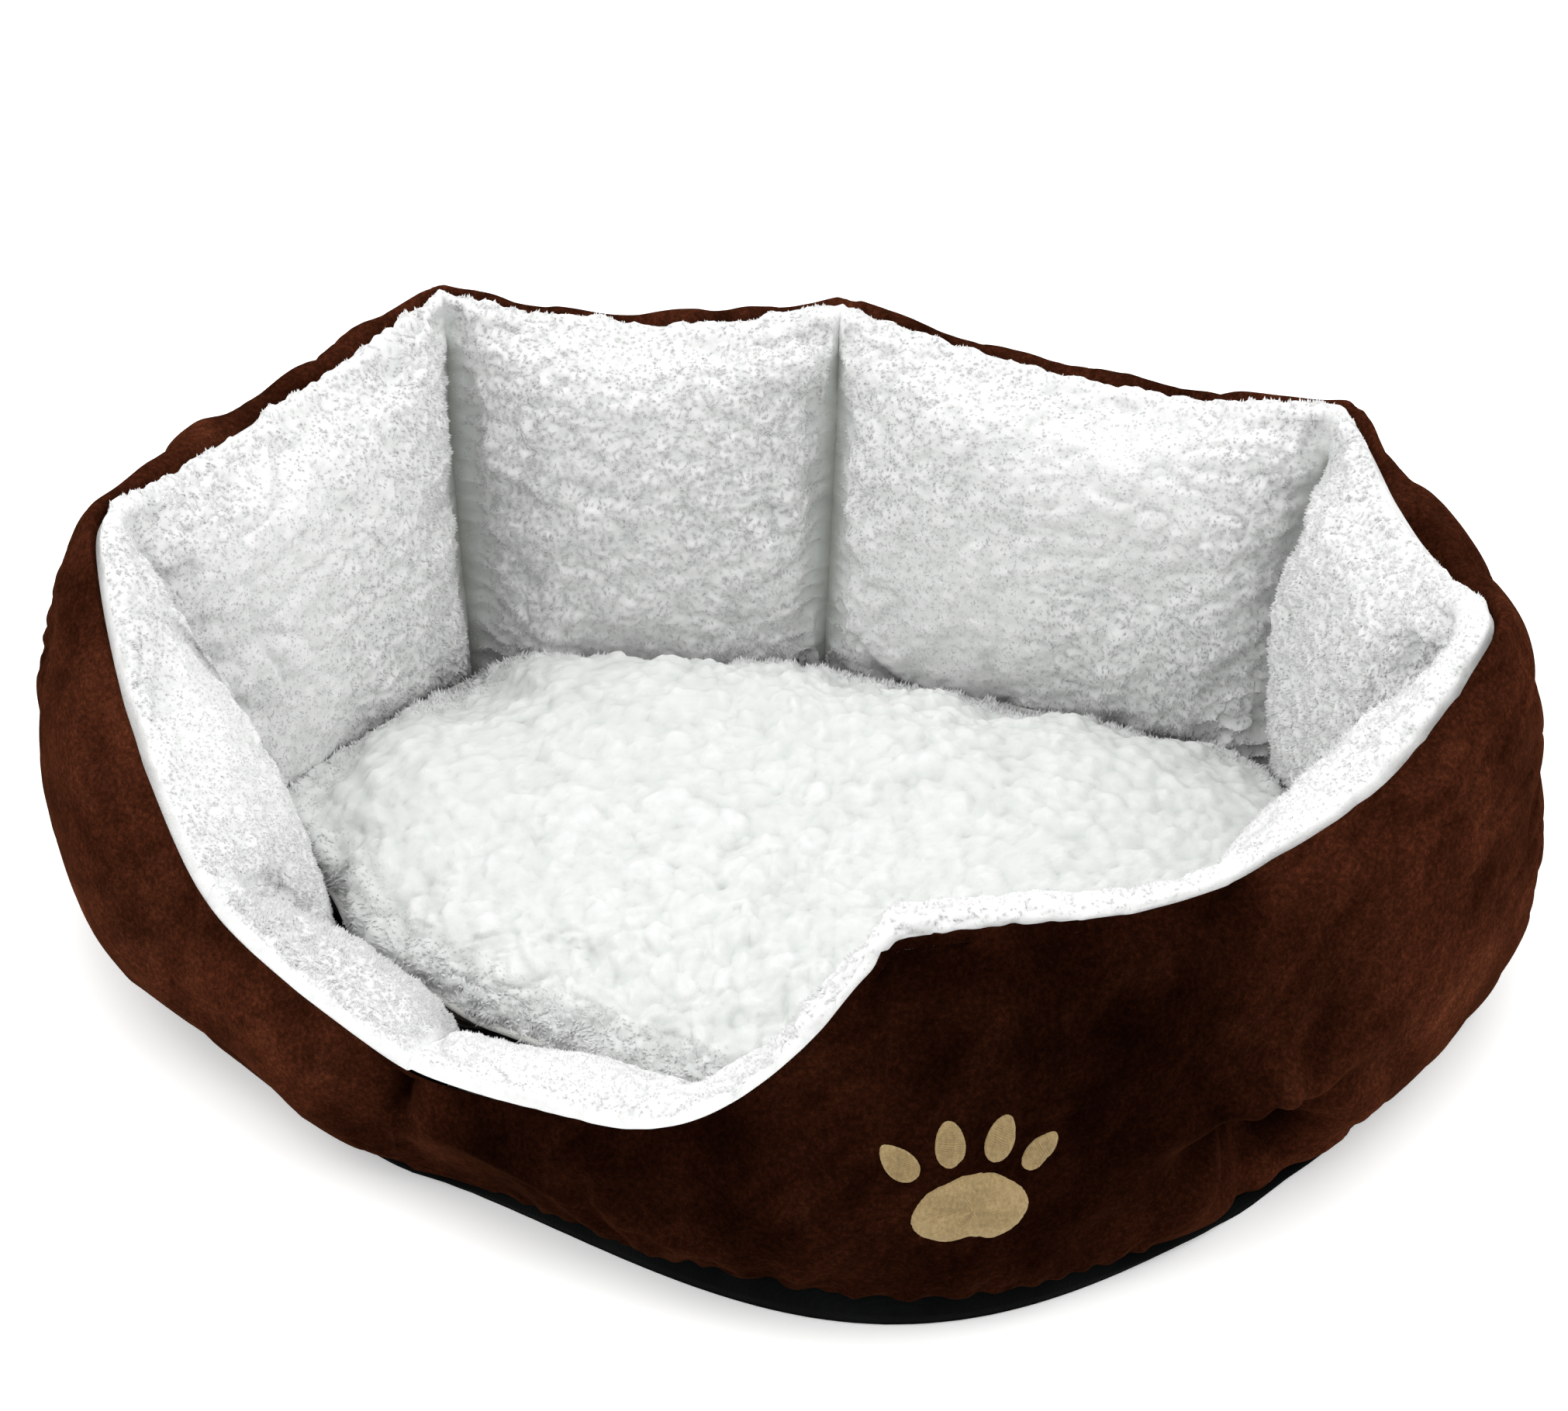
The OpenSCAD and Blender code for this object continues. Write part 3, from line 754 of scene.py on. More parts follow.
def spot(g, at, size):
    """A soft spot around a place given from the foot of the front right seam."""
    foot = pucker_foot(0.0, 0.0)
    d = (g - foot - np.array([at[0], 0, at[1]])) / np.array([size[0], 0.09, size[1]])
    return np.exp(-(d ** 2).sum(-1))


def pocket(g):
    """Where the pulled-in foot of the front right seam is, from 0 to about 1."""
    return (spot(g, (-0.006, 0.050), (0.019, 0.011))
            + spot(g, (0.008, 0.034), (0.016, 0.015)))


def eased(grids):
    """Rounds the walls across the soft corner seams: all of the outside, or by the rim only."""
    rows = np.arange(grids[0].shape[1])
    by_rim = bell(rows - OUTER_STEPS, 6.0)
    outside = np.maximum(by_rim, (rows < OUTER_STEPS) * 1.0)
    for corner, share, passes in ((5, outside, 40), (6, outside, 12), (7, outside, 60),
                                  (0, outside, 25), (4, by_rim, 12), (1, by_rim, 6)):
        a, b = grids[corner - 1], grids[corner]
        m = EASED_COLUMNS
        strip = np.concatenate([a[-m:], b[1:m]])
        for _ in range(passes):
            middle = (strip[:-2] + strip[2:]) / 2
            strip[1:-1] += (middle - strip[1:-1]) * 0.5 * share[None, :, None]
        a[-m:], b[:m] = strip[:m], strip[m - 1:]
    return grids


def puckered(k, grid):
    """Eases the front right seam, and pulls its foot in to a pocket with a flap beside it."""
    g = grid.copy()
    m = mitre(PUCKER)
    outer = g[:, :OUTER_STEPS]
    if k not in (FRONT, FRONT + 1):
        return g
    s = arc(outer, 0)
    away = s[-1:] - s if k == FRONT else s
    up = arc(grid[:, :OUTER_STEPS + 1], 1)
    below = (up[:, -1:] - up)[:, :OUTER_STEPS]
    fuller = (PUCKER_FULL * bell(away, 24 * MM) * smooth(0, 0.05, below)
              * smooth(0.0, 0.05, up[:, :OUTER_STEPS]))
    flap = (0.9 * spot(outer, (0.034, 0.036), (0.016, 0.022))
            + 1.3 * spot(outer, (0.004, 0.072), (0.040, 0.009))
            + 0.8 * spot(outer, (-0.022, 0.026), (0.020, 0.014)))
    lift = fuller + PUCKER_FLAP * flap - PUCKER_DEPTH * np.minimum(pocket(outer), 1.1)
    outer += np.array([m[0], m[1], 0.0]) * lift[..., None]
    return g


def drawn_folds(g):
    """Folds that fan out over the suede from the pulled-in foot of the front right seam."""
    foot = pucker_foot(0.002, 0.046)
    d = g - foot
    across = d[..., 0] + 0.5 * d[..., 1]
    r = np.linalg.norm(d, axis=-1)
    turn = np.arctan2(d[..., 2], across)
    bend = noise(np.stack([r, turn * 0.01, r * 0], -1), 0.03, 57)
    wave = np.cos(9 * turn + 1.8 * bend)
    near = smooth(0.004, 0.030, r) * bell(r, 0.075)
    return wave * near * 1.6 * MM


def seam_pull(k, along, below):
    """How far the corner seams pull the suede in, and how far it is inside the notch."""
    pull, notch = 0 * below, 0 * below
    for corner, away in ((k, along), ((k + 1) % N, along[-1:] - along)):
        pull = pull + (TUCK * PULL[corner] * smooth(0, 14 * MM, below)
                       * bell(away, 3.2 * MM))
        if corner == NOTCH_CORNER:
            near_rim = smooth(0, 4 * MM, below) * (1 - smooth(14 * MM, 34 * MM, below))
            notch = near_rim * bell(away, NOTCH_WIDE)
    return pull + TUCK * NOTCH_PULL * notch, notch


def painted_panel_shade(k, g, along):
    """The chamber's own painted shade of suede, blending raggedly into its neighbours'."""
    waver = noise(g + 6, 0.03, 72) * 26 * MM
    start = smooth(-PAINTED_SHADE_BLEND, PAINTED_SHADE_BLEND, along + waver)
    end = smooth(-PAINTED_SHADE_BLEND, PAINTED_SHADE_BLEND, along[-1:] - along - waver)
    return (PANEL_PAINTED_SHADE[k] * start * end + PANEL_PAINTED_SHADE[k - 1] * (1 - start) + PANEL_PAINTED_SHADE[(k + 1) % N] * (1 - end))


def suede_lift(k, g, side, along, up, below):
    """How far each point of the suede stands out, and how far it is inside the notch."""
    # folds: long soft ones along the wall, and short gathers that run out from the seams
    slant = g[..., 2] * 2.4 + g[..., 0] * 0.5
    long_folds = noise(np.stack([g[..., 0], g[..., 1], slant], -1), 0.05, 51) * 1.9 * MM
    soft = noise(np.stack([g[..., 0] * 0.45, g[..., 1] * 0.6, g[..., 2] * 1.8], -1), 0.022, 52)
    patch = smooth(-0.2, 0.5, noise(g, 0.09, 55))
    creases = (1 - np.abs(soft)) ** 5 * -2.0 * MM * patch
    small = noise(np.stack([g[..., 0], g[..., 1], g[..., 2] * 0.6], -1), 0.011, 60)
    spots = smooth(0.25, 0.6, noise(g + 4, 0.035, 63))
    creases -= (1 - np.abs(small)) ** 6 * 1.1 * MM * spots
    seamline = np.stack([up, up * 0, up * 0 + k], -1)
    gathers = noise(seamline, 12 * MM, 53) * 1.3 * MM * np.exp(-side / (18 * MM))
    rimline = np.stack([along, up * 0, up * 0 + k], -1)
    gathers = gathers + noise(rimline, 16 * MM, 54) * 0.8 * MM * np.exp(-below / (22 * MM))
    hem = noise(rimline + 5, 34 * MM, 56) * 1.2 * MM * np.exp(-up / (18 * MM))
    ease = np.clip(side / (5 * MM), 0, 1) * np.clip(below / (5 * MM), 0, 1)
    lift = (long_folds + creases + gathers + hem) * ease
    lift += drawn_folds(g) * np.clip(below / (5 * MM), 0, 1)
    pull, notch = seam_pull(k, along, below)
    lift -= pull
    lift -= SEAM_DEPTH * bell(below, 2.5 * MM)
    lift -= 2.5 * MM * smooth(4 * MM, 0, up)
    return lift, notch


def suede_shade(k, g, along, lift, notch):
    """Brightness of the nap: brushed patches and fine streaks, with painted shade on the front, in
    the creases, the pocket and the notch, and painted highlights on the ridges and round the
    pocket.
    """
    # Painted shade per chamber, darkest on the front.
    own = painted_panel_shade(k, g, along)
    brushed_nap_and_painted_light = 0.55 * own * (1 + 0.40 * noise(g + 2, 0.045, 58) + 0.24 * noise(g, 0.018, 59))
    # Painted shade in the creases of the folds and painted highlight on their ridges.
    brushed_nap_and_painted_light += 0.10 * np.clip(lift / (2 * MM), -1, 1) * own
    streaks = np.stack([(g[..., 0] + g[..., 2]) * 0.3, g[..., 1] * 0.3,
                        g[..., 2] - g[..., 0]], -1)
    brushed_nap_and_painted_light *= 1 + 0.22 * noise(streaks, 0.006, 69) + 0.18 * noise(g, 0.0035, 70)
    # Painted highlight on the folds round the pocket.
    near_pocket = spot(g, (-0.038, 0.040), (0.03, 0.03)) + spot(g, (0.025, 0.020), (0.03, 0.02))
    brushed_nap_and_painted_light += 0.16 * near_pocket
    # Painted shade deep in the pocket and in the notch.
    brushed_nap_and_painted_light *= (1 - 0.92 * np.minimum(pocket(g), 1)) * (1 - 0.75 * notch)
    return brushed_nap_and_painted_light


def suede_panel(k, grid):
    g = grid[:, :OUTER_STEPS + 1]
    nu, nv = fine_counts(g, SUEDE_STEP)
    g = resample(g, nu, nv)
    side = edge_distance(g)
    along, up = arc(g, 0), arc(g, 1)
    below = up[:, -1:] - up
    n = panel_normals(k, g, below, rim_normal(k, grid))
    lift, notch = suede_lift(k, g, side, along, up, below)
    brushed_nap_and_painted_light = suede_shade(k, g, along, lift, notch)
    g = g + n * lift[..., None]
    obj = new_object("suede_" + NAMES[k], g, grid_faces(nu, nv))
    add_attribute(obj, "nap_and_painted_light", np.clip(brushed_nap_and_painted_light, 0.08, 1))
    finished(obj, SUEDE, "bed", "suede", "outer_panel_" + NAMES[k])
    return g


def plump(k, g, down):
    """Fuller lining: a fat roll at the right corner tip, and a cheek at the back right."""
    s = arc(g, 0)
    full = 0 * down
    if k in (0, N - 1):
        away = s if k == 0 else s[-1:] - s
        full = full + 5 * MM * np.exp(-(away / 0.03) ** 2 - ((down - 0.015) / 0.012) ** 2)
    if k == 0:
        away = s[-1:] - s
        full = full + 8 * MM * np.exp(-((away - 0.022) / 0.018) ** 2
                                      - ((down - 0.095) / 0.045) ** 2)
    return full


def lining_lift(k, g, h, side, down):
    """How far the lining stands out, how much painted shade darkens its valleys, and where its
    pile is calm.
    """
    grow = (smooth(-1 * MM, 5 * MM, side) * 0.5 + 0.5) * smooth(0, 3 * MM, down)
    grow = grow * (1 + 0.5 * bell(down, 14 * MM))
    soft = noise(g, 0.045, 61) * 2.2 * MM + noise(g, 0.020, 62) * 1.5 * MM
    wrinkle = 1 - np.abs(noise(g * np.array([1, 1, 1.6]), 0.015, 67))
    soft -= wrinkle ** 5 * 1.6 * MM * smooth(-0.2, 0.5, noise(g + 3, 0.06, 68))
    soft = soft * np.clip(side / (12 * MM), 0, 1) * smooth(0, 8 * MM, down)
    lip = (SEAM_DEPTH + 2.0 * MM) * smooth(0, 4 * MM, down) * (1 - smooth(7 * MM, 22 * MM, down))
    lumps = noise(g + 9, 0.009, 73) * 1.3 * MM * smooth(0, 5 * MM, down)
    lip = lip + lumps * bell(down, 20 * MM)
    rim = lip - SEAM_DEPTH * (1 - smooth(2 * MM, 8 * MM, down))
    along = arc(g, 0)
    valley, painted_valley_shade = 0 * down, 0 * down
    for corner, away in ((k, along), ((k + 1) % N, along[-1:] - along)):
        valley = valley + VALLEY[corner] * bell(away, 11 * MM)
        # Painted shade along each corner valley, deeper where the valley is deeper.
        painted_valley_shade = painted_valley_shade + VALLEY[corner] / max(VALLEY) * bell(away, 6 * MM)
    valley = valley * smooth(0.012, 0.07, down)
    painted_valley_shade = painted_valley_shade * smooth(0.010, 0.035, down)
    seam = 1.2 * MM * bell(side, 4 * MM) * smooth(0, 14 * MM, down)
    calm = 0.55 + 0.45 * smooth(-0.5, 0.4, noise(g + 7, 0.07, 66))
    lift = (h - 0.55) * PILE * grow * calm + soft + rim - valley - seam + plump(k, g, down)
    if k == NOTCH_CORNER:
        step = smooth(0, 3 * MM, along) * bell(along, 0.03)
        lift += 3.5 * MM * step * bell(down - 4 * MM, 6 * MM)
    return lift, painted_valley_shade, calm


def fleece_panel(k, grid):
    g = grid[:, OUTER_STEPS:OUTER_STEPS + LINING_STEPS + 1]
    nu, nv = fine_counts(g, FLEECE_STEP)
    g = resample(g, nu, nv)
    side, down = edge_distance(g), arc(g, 1)
    n = panel_normals(k, g, down, rim_normal(k, grid))
    h, way = fleece_height(g, WALL_CLUMP)
    lift, painted_valley_shade, calm = lining_lift(k, g, h, side, down)
    g = g + n * lift[..., None]
    # Painted shade: darker in the gaps between clumps, and darker still along the corner valleys.
    shade = (0.25 + 0.75 * h) * (1 - 0.9 * painted_valley_shade)
    size = smooth(1.5 * MM, 6 * MM, down) * (0.3 + 0.7 * smooth(0, 8 * MM, side)) * calm
    size = size * (1 + 0.3 * bell(down, 14 * MM))
    obj = furred("fleece_" + NAMES[k], g, n, shade, way, size,
                 WALL_TUFTS, WALL_TUFT_LENGTH, 100 + k)
    finished(obj, FLEECE, "bed", "fleece", "lining_panel_" + NAMES[k])


def fill_piece(k, grid):
    """The fibre filling: the chamber's own shape, well inside its skins and lumpy."""
    clear_start = 12 if k == FRONT + 1 else 4
    clear_end = -14 if k == FRONT else -4
    g = grid[clear_start:clear_end:3, ::3]
    ring = np.gradient(g, axis=0), np.roll(g, -1, axis=1) - np.roll(g, 1, axis=1)
    n = unit(np.cross(*ring))
    g = g - n * (10 * MM + noise(g, 0.02, 71)[..., None] * 1.5 * MM)
    obj = new_object("filling_" + NAMES[k], g, closed_rings(*g.shape[:2]))
    finished(obj, FIBRE, "bed", "fibre", "wall_fill_" + NAMES[k])


def seam_ribbon(k, run, deep):
    """The sewn edges of two panels, turned inwards along a run of the corner seam."""
    m = mitre(k)
    side = np.array([-m[1], m[0], 0.0])
    inwards = -unit(np.cross(np.gradient(run, axis=0), side))
    inwards *= np.sign(((run.mean(0) - run) * inwards).sum())
    wide, thick = 3 * MM, 0.7 * MM
    corners = [(deep, -thick), (deep, thick), (deep + wide, thick), (deep + wide, -thick)]
    return np.stack([run + inwards * d + side * t for d, t in corners], axis=1)


def corner_seams(grids):
    """Runs that stop well below the rim, where the wall is too thin to hide them."""
    points, faces, first = [], [], 0
    for k in range(N):
        runs = [seam_ribbon(k, grids[k][0, OUTER_STEPS + 20:OUTER_STEPS + 53:2], 11 * MM)]
        if PULL[k] > 0:
            runs.append(seam_ribbon(k, grids[k][0, 5:OUTER_STEPS - 14:2], 6 * MM))
        for rings in runs:
            faces += moved(closed_rings(*rings.shape[:2]), first)
            points.append(rings.reshape(-1, 3))
            first += rings.shape[0] * 4
    obj = new_object("corner_seam_edges", np.concatenate(points), faces)
    add_attribute(obj, "nap_and_painted_light", np.full(first, 0.5))
    finished(obj, SUEDE, "bed", "suede", "corner_seams")


# ---------------------------------------------------------------- base and floor
def wall_inside(k, u):
    """Where the wall is thickest, as an offset along outward."""
    return np.min([lining_inset(k, u, share, tight) for _, share, tight in LINING], axis=0)


def outline(gap, inside):
    """A closed plan outline, offset outwards by gap from the base seam or the wall's inside."""
    pts = []
    for k in range(N):
        u = np.linspace(0, 1, 24, endpoint=False)
        off = (wall_inside(k, u) if inside else 0 * u) + gap
        pts.append(base_line(k, u) + outward(k, u) * off[:, None])
    flat = np.concatenate(pts)
    return placed(np.column_stack([flat, np.zeros(len(flat))]))[:, :2]


def rounded(ring, passes):
    for _ in range(passes):
        ring = ring * 0.5 + (np.roll(ring, 1, axis=0) + np.roll(ring, -1, axis=0)) * 0.25
    return ring


def disc(n):
    """A square grid bent into a disc: radius from 0 to 1 and angle of each point."""
    x, y = np.meshgrid(np.linspace(-1, 1, n), np.linspace(-1, 1, n), indexing="ij")
    a, b = x * np.sqrt(1 - y * y / 2), y * np.sqrt(1 - x * x / 2)
    return np.minimum(1, np.hypot(a, b)), np.arctan2(b, a)


def reach(ring, middle, angle):
    """Distance from middle to the outline at each angle."""
    d = ring - middle
    at, r = np.arctan2(d[:, 1], d[:, 0]), np.hypot(d[:, 0], d[:, 1])
    order = np.argsort(at)
    return np.interp(angle, at[order], r[order], period=2 * math.pi)


def slab(n, ring, z_low, z_high, wave):
    """A thin closed sheet over an outline, as two grids with a shared rim."""
    middle = middle_of(ring)
    rho, angle = disc(n)
    r = rho * reach(ring, middle, angle)
    xy = np.stack([middle[0] + r * np.cos(angle), middle[1] + r * np.sin(angle)], -1)
    lift = (wave * noise(np.dstack([xy, rho * 0]), 0.05, 81)
            * smooth(1.0, 0.9, rho))
    return np.dstack([xy, z_high + lift]), np.dstack([xy, z_low + lift])


def slab_mesh(top, low):
    """Joins two grids of one size face to face into a closed piece."""
    n = top.shape[0]
    index = np.arange(n * n).reshape(n, n)
    loop = np.concatenate([index[:-1, 0], index[-1, :-1], index[:0:-1, -1], index[0, :0:-1]])
    after = np.roll(loop, -1)
    rim = np.column_stack([after, loop, loop + n * n, after + n * n])
    upper = grid_faces(n, n)
    lower = grid_faces(n, n)[:, ::-1] + n * n
    return np.concatenate([top.reshape(-1, 3), low.reshape(-1, 3)]), np.concatenate(
        [upper, lower, rim]).tolist()


DOT_PITCH, DOT_R, DOT_H = 12 * MM, 1.7 * MM, 0.7 * MM


def grip_dots(ring, z):
    """Low rubber domes in a hexagonal pattern over the underside, all inside the outline."""
    middle = middle_of(ring)
    span = np.ptp(ring, axis=0) / 2
    places = []
    for row in range(-int(span[1] / DOT_PITCH / 0.866), int(span[1] / DOT_PITCH / 0.866) + 1):
        for col in range(-int(span[0] / DOT_PITCH) - 1, int(span[0] / DOT_PITCH) + 2):
            places.append(((col + 0.5 * (row % 2)) * DOT_PITCH, row * DOT_PITCH * 0.866))
    places = np.array(places)
    far = np.hypot(places[:, 0], places[:, 1])
    room = reach(ring, middle, np.arctan2(places[:, 1], places[:, 0]))
    places = places[far < room - 8 * MM] + middle
    sides = 10
    turn = np.arange(sides) * 2 * math.pi / sides
    points, faces = [], []
    for x, y in places:
        first = len(points)
        for r, h in ((DOT_R, 0), (DOT_R * 0.75, 0.75)):
            points += [(x + r * math.cos(t), y + r * math.sin(t), z - h * DOT_H) for t in turn]
        points.append((x, y, z - DOT_H))
        for j in range(sides):
            a, b = first + j, first + (j + 1) % sides
            faces += [[a, a + sides, b + sides, b], [a + sides, first + 2 * sides, b + sides]]
        faces.append([first + j for j in range(sides)])
    return np.array(points), faces


def base_sheet():
    ring = outline(-3.0 * MM, False)
    points, faces = slab_mesh(*slab(60, ring, DOT_H, 2.5 * MM, 0.0))
    dots, dot_faces = grip_dots(ring, DOT_H + 0.1 * MM)
    faces += moved(dot_faces, len(points))
    obj = new_object("base_sheet_cloth", np.concatenate([points, dots]), faces)
    obj.data.polygons.foreach_set("use_smooth", np.zeros(len(obj.data.polygons), bool))
    return finished(obj, BASE_CLOTH_WITH_PAINTED_SHADOW, "bed", "base_cloth", "base_sheet"), ring


def base_band(grids):
    """The base fabric turned up around the edge, rolling out from under the suede."""
    rings = []
    for k in range(N):
        foot = resample(grids[k][:, :2], 60, 2)[:-1, 0]
        u = np.linspace(0, 1, 60)[:-1]
        out = np.column_stack([outward(k, u), np.zeros(len(u))])
        out = unit(out)
        top = foot[:, 2]
        ripple = noise(foot * np.array([1, 1, 0]) + 2, 0.022, 91) * 0.7 * MM
        shape = [(-9 * MM, 0.9 * MM), (-4 * MM, 0.8 * MM), (-1.6 * MM, 1.7 * MM)]
        path = [np.column_stack([foot[:, :2], np.full(len(u), z)]) + out * d for d, z in shape]
        for share, d in ((0.45, 0.4), (0.8, 0.3), (1.1, -0.9), (1.35, -2.4)):
            z = 1.7 * MM + (top - 1.7 * MM) * share
            p = np.column_stack([foot[:, :2], z]) + out * (d * MM + ripple)[:, None]
            path.append(p)
        back = [p - out * 1.2 * MM + np.array([0, 0, 0.4 * MM]) for p in path[::-1]]
        rings.append(np.stack(path + back, axis=1))
    g = np.concatenate(rings)
    obj = new_object("base_turned_edge", g, ring_faces(*g.shape[:2], closed=True).tolist())
    return finished(obj, BASE_CLOTH_WITH_PAINTED_SHADOW, "bed", "base_cloth", "base_turn_up")


def floor_pieces():
    ring = outline(-4 * MM, True)
    pad_lo, pad_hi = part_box("floor_pad")
    cloth_lo, cloth_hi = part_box("floor_cloth")
    points, faces = slab_mesh(*slab(50, ring, pad_lo[2], pad_hi[2] - 0.3 * MM, 0.0))
    pad = finished(new_object("floor_padding", points, faces), FIBRE, "bed", "fibre", "floor_pad")
    points, faces = slab_mesh(*slab(140, ring, cloth_lo[2] - 0.1 * MM, cloth_hi[2] - 0.6 * MM,
                                    0.3 * MM))
    cloth = new_object("floor_covering", points, faces)
    finished(cloth, FLOOR_CLOTH, "bed", "floor_cloth", "floor_cloth")


# ---------------------------------------------------------------- mat
MAT_GRID, MAT_FINE = 64, 262
# The cover starts this far inside the mat's CAD outline, before it is let out to the lining.
MAT_EASE = 3 * MM
# Gap left to the swollen lining, and the most that the cover may be let out.
MAT_GAP, MAT_LET_OUT = 4 * MM, 10 * MM
# Space kept inside the CAD height, and how square the shoulders of each half are.
MAT_TOP_CLEAR, MAT_LOW_CLEAR = 1 * MM, 0.3 * MM
TOP_CROWN, LOW_CROWN = 3.4, 5.0
MAT_PILE, MAT_CLUMP = 6.0 * MM, 9 * MM
MAT_TUFTS, MAT_TUFT_LENGTH = 26000, 2.4 * MM
# The mat's pile is shaded darker than the walls', because the mat faces the top light.
MAT_SHADE_LOW, MAT_SHADE_RISE = 0.13, 0.44
UNDER_FINE, FILLING_GRID, PIPE_SIDES = 130, 40, 8
MAT_LO, MAT_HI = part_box("mat_bottom")[0][2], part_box("mat_top")[1][2]
PIPE_LO, PIPE_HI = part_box("mat_piping")[0][2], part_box("mat_piping")[1][2]
PIPE_Z, PIPE_R = (PIPE_LO + PIPE_HI) / 2, (PIPE_HI - PIPE_LO) / 2


def pillow(n, ring, height, power):
    """Half of a stuffed pad: a crowned surface from its middle to its seam."""
    middle = middle_of(ring)
    rho, angle = disc(n)
    x = 1 - (1 - np.linspace(0, 1, 2000)) ** 2
    z = (1 - x ** power) ** (1 / power)
    run = np.concatenate([[0], np.cumsum(np.hypot(np.diff(x * 0.19), np.diff(z * abs(height))))])
    share = run / run[-1]
    r = np.interp(rho, share, x) * reach(ring, middle, angle)
    up = np.interp(rho, share, z)
    return np.dstack([middle[0] + r * np.cos(angle), middle[1] + r * np.sin(angle),
                      PIPE_Z + height * up])


def design_ring():
    return rounded(outline(-5 * MM - MAT_EASE, True), 40)


def fitted_ring(grids):
    """The mat's outline, let out to an even narrow gap inside the swollen lining."""
    ring = design_ring()
    middle = middle_of(ring)
    lining = np.concatenate([g[:, OUTER_STEPS:OUTER_STEPS + LINING_STEPS].reshape(-1, 3)
                             for g in grids])
    low = lining[(lining[:, 2] > 4 * MM) & (lining[:, 2] < MAT_HI)]
    d = low[:, :2] - middle
    at, r = np.arctan2(d[:, 1], d[:, 0]), np.hypot(d[:, 0], d[:, 1])
    angle = np.linspace(-math.pi, math.pi, 181)[:-1]
    apart = np.abs((at[None] - angle[:, None] + math.pi) % (2 * math.pi) - math.pi)
    nearest = np.where(apart < 0.035, r[None], 9.0).min(1)
    for _ in range(3):
        nearest = (np.roll(nearest, 1) + 2 * nearest + np.roll(nearest, -1)) / 4
    far = np.clip(nearest - MAT_GAP, reach(ring, middle, angle) - 2 * MM,
                  reach(ring, middle, angle) + MAT_LET_OUT)
    return middle + np.column_stack([np.cos(angle), np.sin(angle)]) * far[:, None]


def refitted(half, old, new):
    """Stretches a grid sideways from one outline to another."""
    middle = middle_of(old)
    d = half[..., :2] - middle
    angle = np.arctan2(d[..., 1], d[..., 0])
    share = reach(new, middle, angle) / reach(old, middle, angle)
    out = half.copy()
    out[..., :2] = middle + d * share[..., None]
    return out


def mat_halves():
    ring = design_ring()
    top = pillow(MAT_GRID, ring, MAT_HI - PIPE_Z - MAT_TOP_CLEAR, TOP_CROWN)
    low = pillow(MAT_GRID, ring, MAT_LO - PIPE_Z + MAT_LOW_CLEAR, LOW_CROWN)
    return top, low


def mat_pieces(top, low, ring):
    rho = disc(MAT_FINE)[0]
    g = resample(top, MAT_FINE, MAT_FINE)
    n = grid_normals(g)
    n *= np.sign(n[MAT_FINE // 2, MAT_FINE // 2, 2])
    hollows = noise(g + 1, 0.075, 64) * 3.5 * MM + noise(g, 0.03, 65) * 1.5 * MM
    h, way = fleece_height(g * np.array([1, 0.75, 1]), MAT_CLUMP)
    inside = smooth(1.0, 0.93, rho)
    lift = ((h - 0.5) * MAT_PILE * (0.7 + 0.3 * inside)
            + np.minimum(hollows, 1.5 * MM) * inside)
    g = g + n * lift[..., None]
    size = 1.25 * smooth(0.80, 0.97, rho)
    shade = MAT_SHADE_LOW + MAT_SHADE_RISE * h
    obj = furred("mat_fleece", g, n, shade, way, size,
                 MAT_TUFTS, MAT_TUFT_LENGTH, 200)
    finished(obj, FLEECE, "mat", "fleece", "mat_top")
    under = resample(low, UNDER_FINE, UNDER_FINE)
    under[..., 2] += noise(under, 0.04, 82) * 0.5 * MM * smooth(1.0, 0.9, disc(UNDER_FINE)[0])
    under[..., 2] = np.maximum(under[..., 2], MAT_LO)
    obj = new_object("mat_underside", under, grid_faces(UNDER_FINE, UNDER_FINE)[:, ::-1])
    finished(obj, FLOOR_CLOTH, "mat", "floor_cloth", "mat_bottom")
    middle = middle_of(ring)
    inner_top = resample(top, FILLING_GRID, FILLING_GRID)
    inner_low = resample(low, FILLING_GRID, FILLING_GRID)
    for half, z_way in ((inner_top, -1), (inner_low, 1)):
        half[..., :2] = middle + (half[..., :2] - middle) * 0.93
        half[..., 2] = PIPE_Z + (half[..., 2] - PIPE_Z) * (0.72 if z_way < 0 else 0.85)
    points, faces = slab_mesh(inner_top, inner_low)
    obj = finished(new_object("mat_filling", points, faces), FIBRE, "mat", "fibre", "mat_fill")
    mat_piping(ring)


def mat_piping(ring):
    line = np.column_stack([ring, np.full(len(ring), PIPE_Z)])
    tangent = unit(np.roll(line, -1, axis=0) - np.roll(line, 1, axis=0))
    out = np.cross(tangent, [0, 0, 1.0])
    turn = np.linspace(0, 2 * math.pi, PIPE_SIDES + 1)[:-1]
    tube = (line[:, None] + out[:, None] * (np.cos(turn) * PIPE_R)[None, :, None]
            + np.array([0, 0, 1.0]) * (np.sin(turn) * PIPE_R)[None, :, None])
    # The same quads the other way round, so they face outwards here too.
    faces = ring_faces(*tube.shape[:2], closed=True)[:, [0, 3, 2, 1]]
    obj = new_object("mat_edge_piping", tube, faces.tolist())
    finished(obj, PIPING_WITH_PAINTED_SHADE, "mat", "piping", "mat_piping")


# ---------------------------------------------------------------- embroidered paw
PAD_W = 44 * MM
THREAD = 0.9 * MM
# Toes: across and up in pad widths, lean in degrees, length and width in pad widths.
TOES = [(-0.63, 0.54, 38, 0.21, 0.13), (-0.22, 0.68, 8, 0.22, 0.13),
        (0.22, 0.66, -12, 0.22, 0.13), (0.58, 0.46, -40, 0.20, 0.115)]


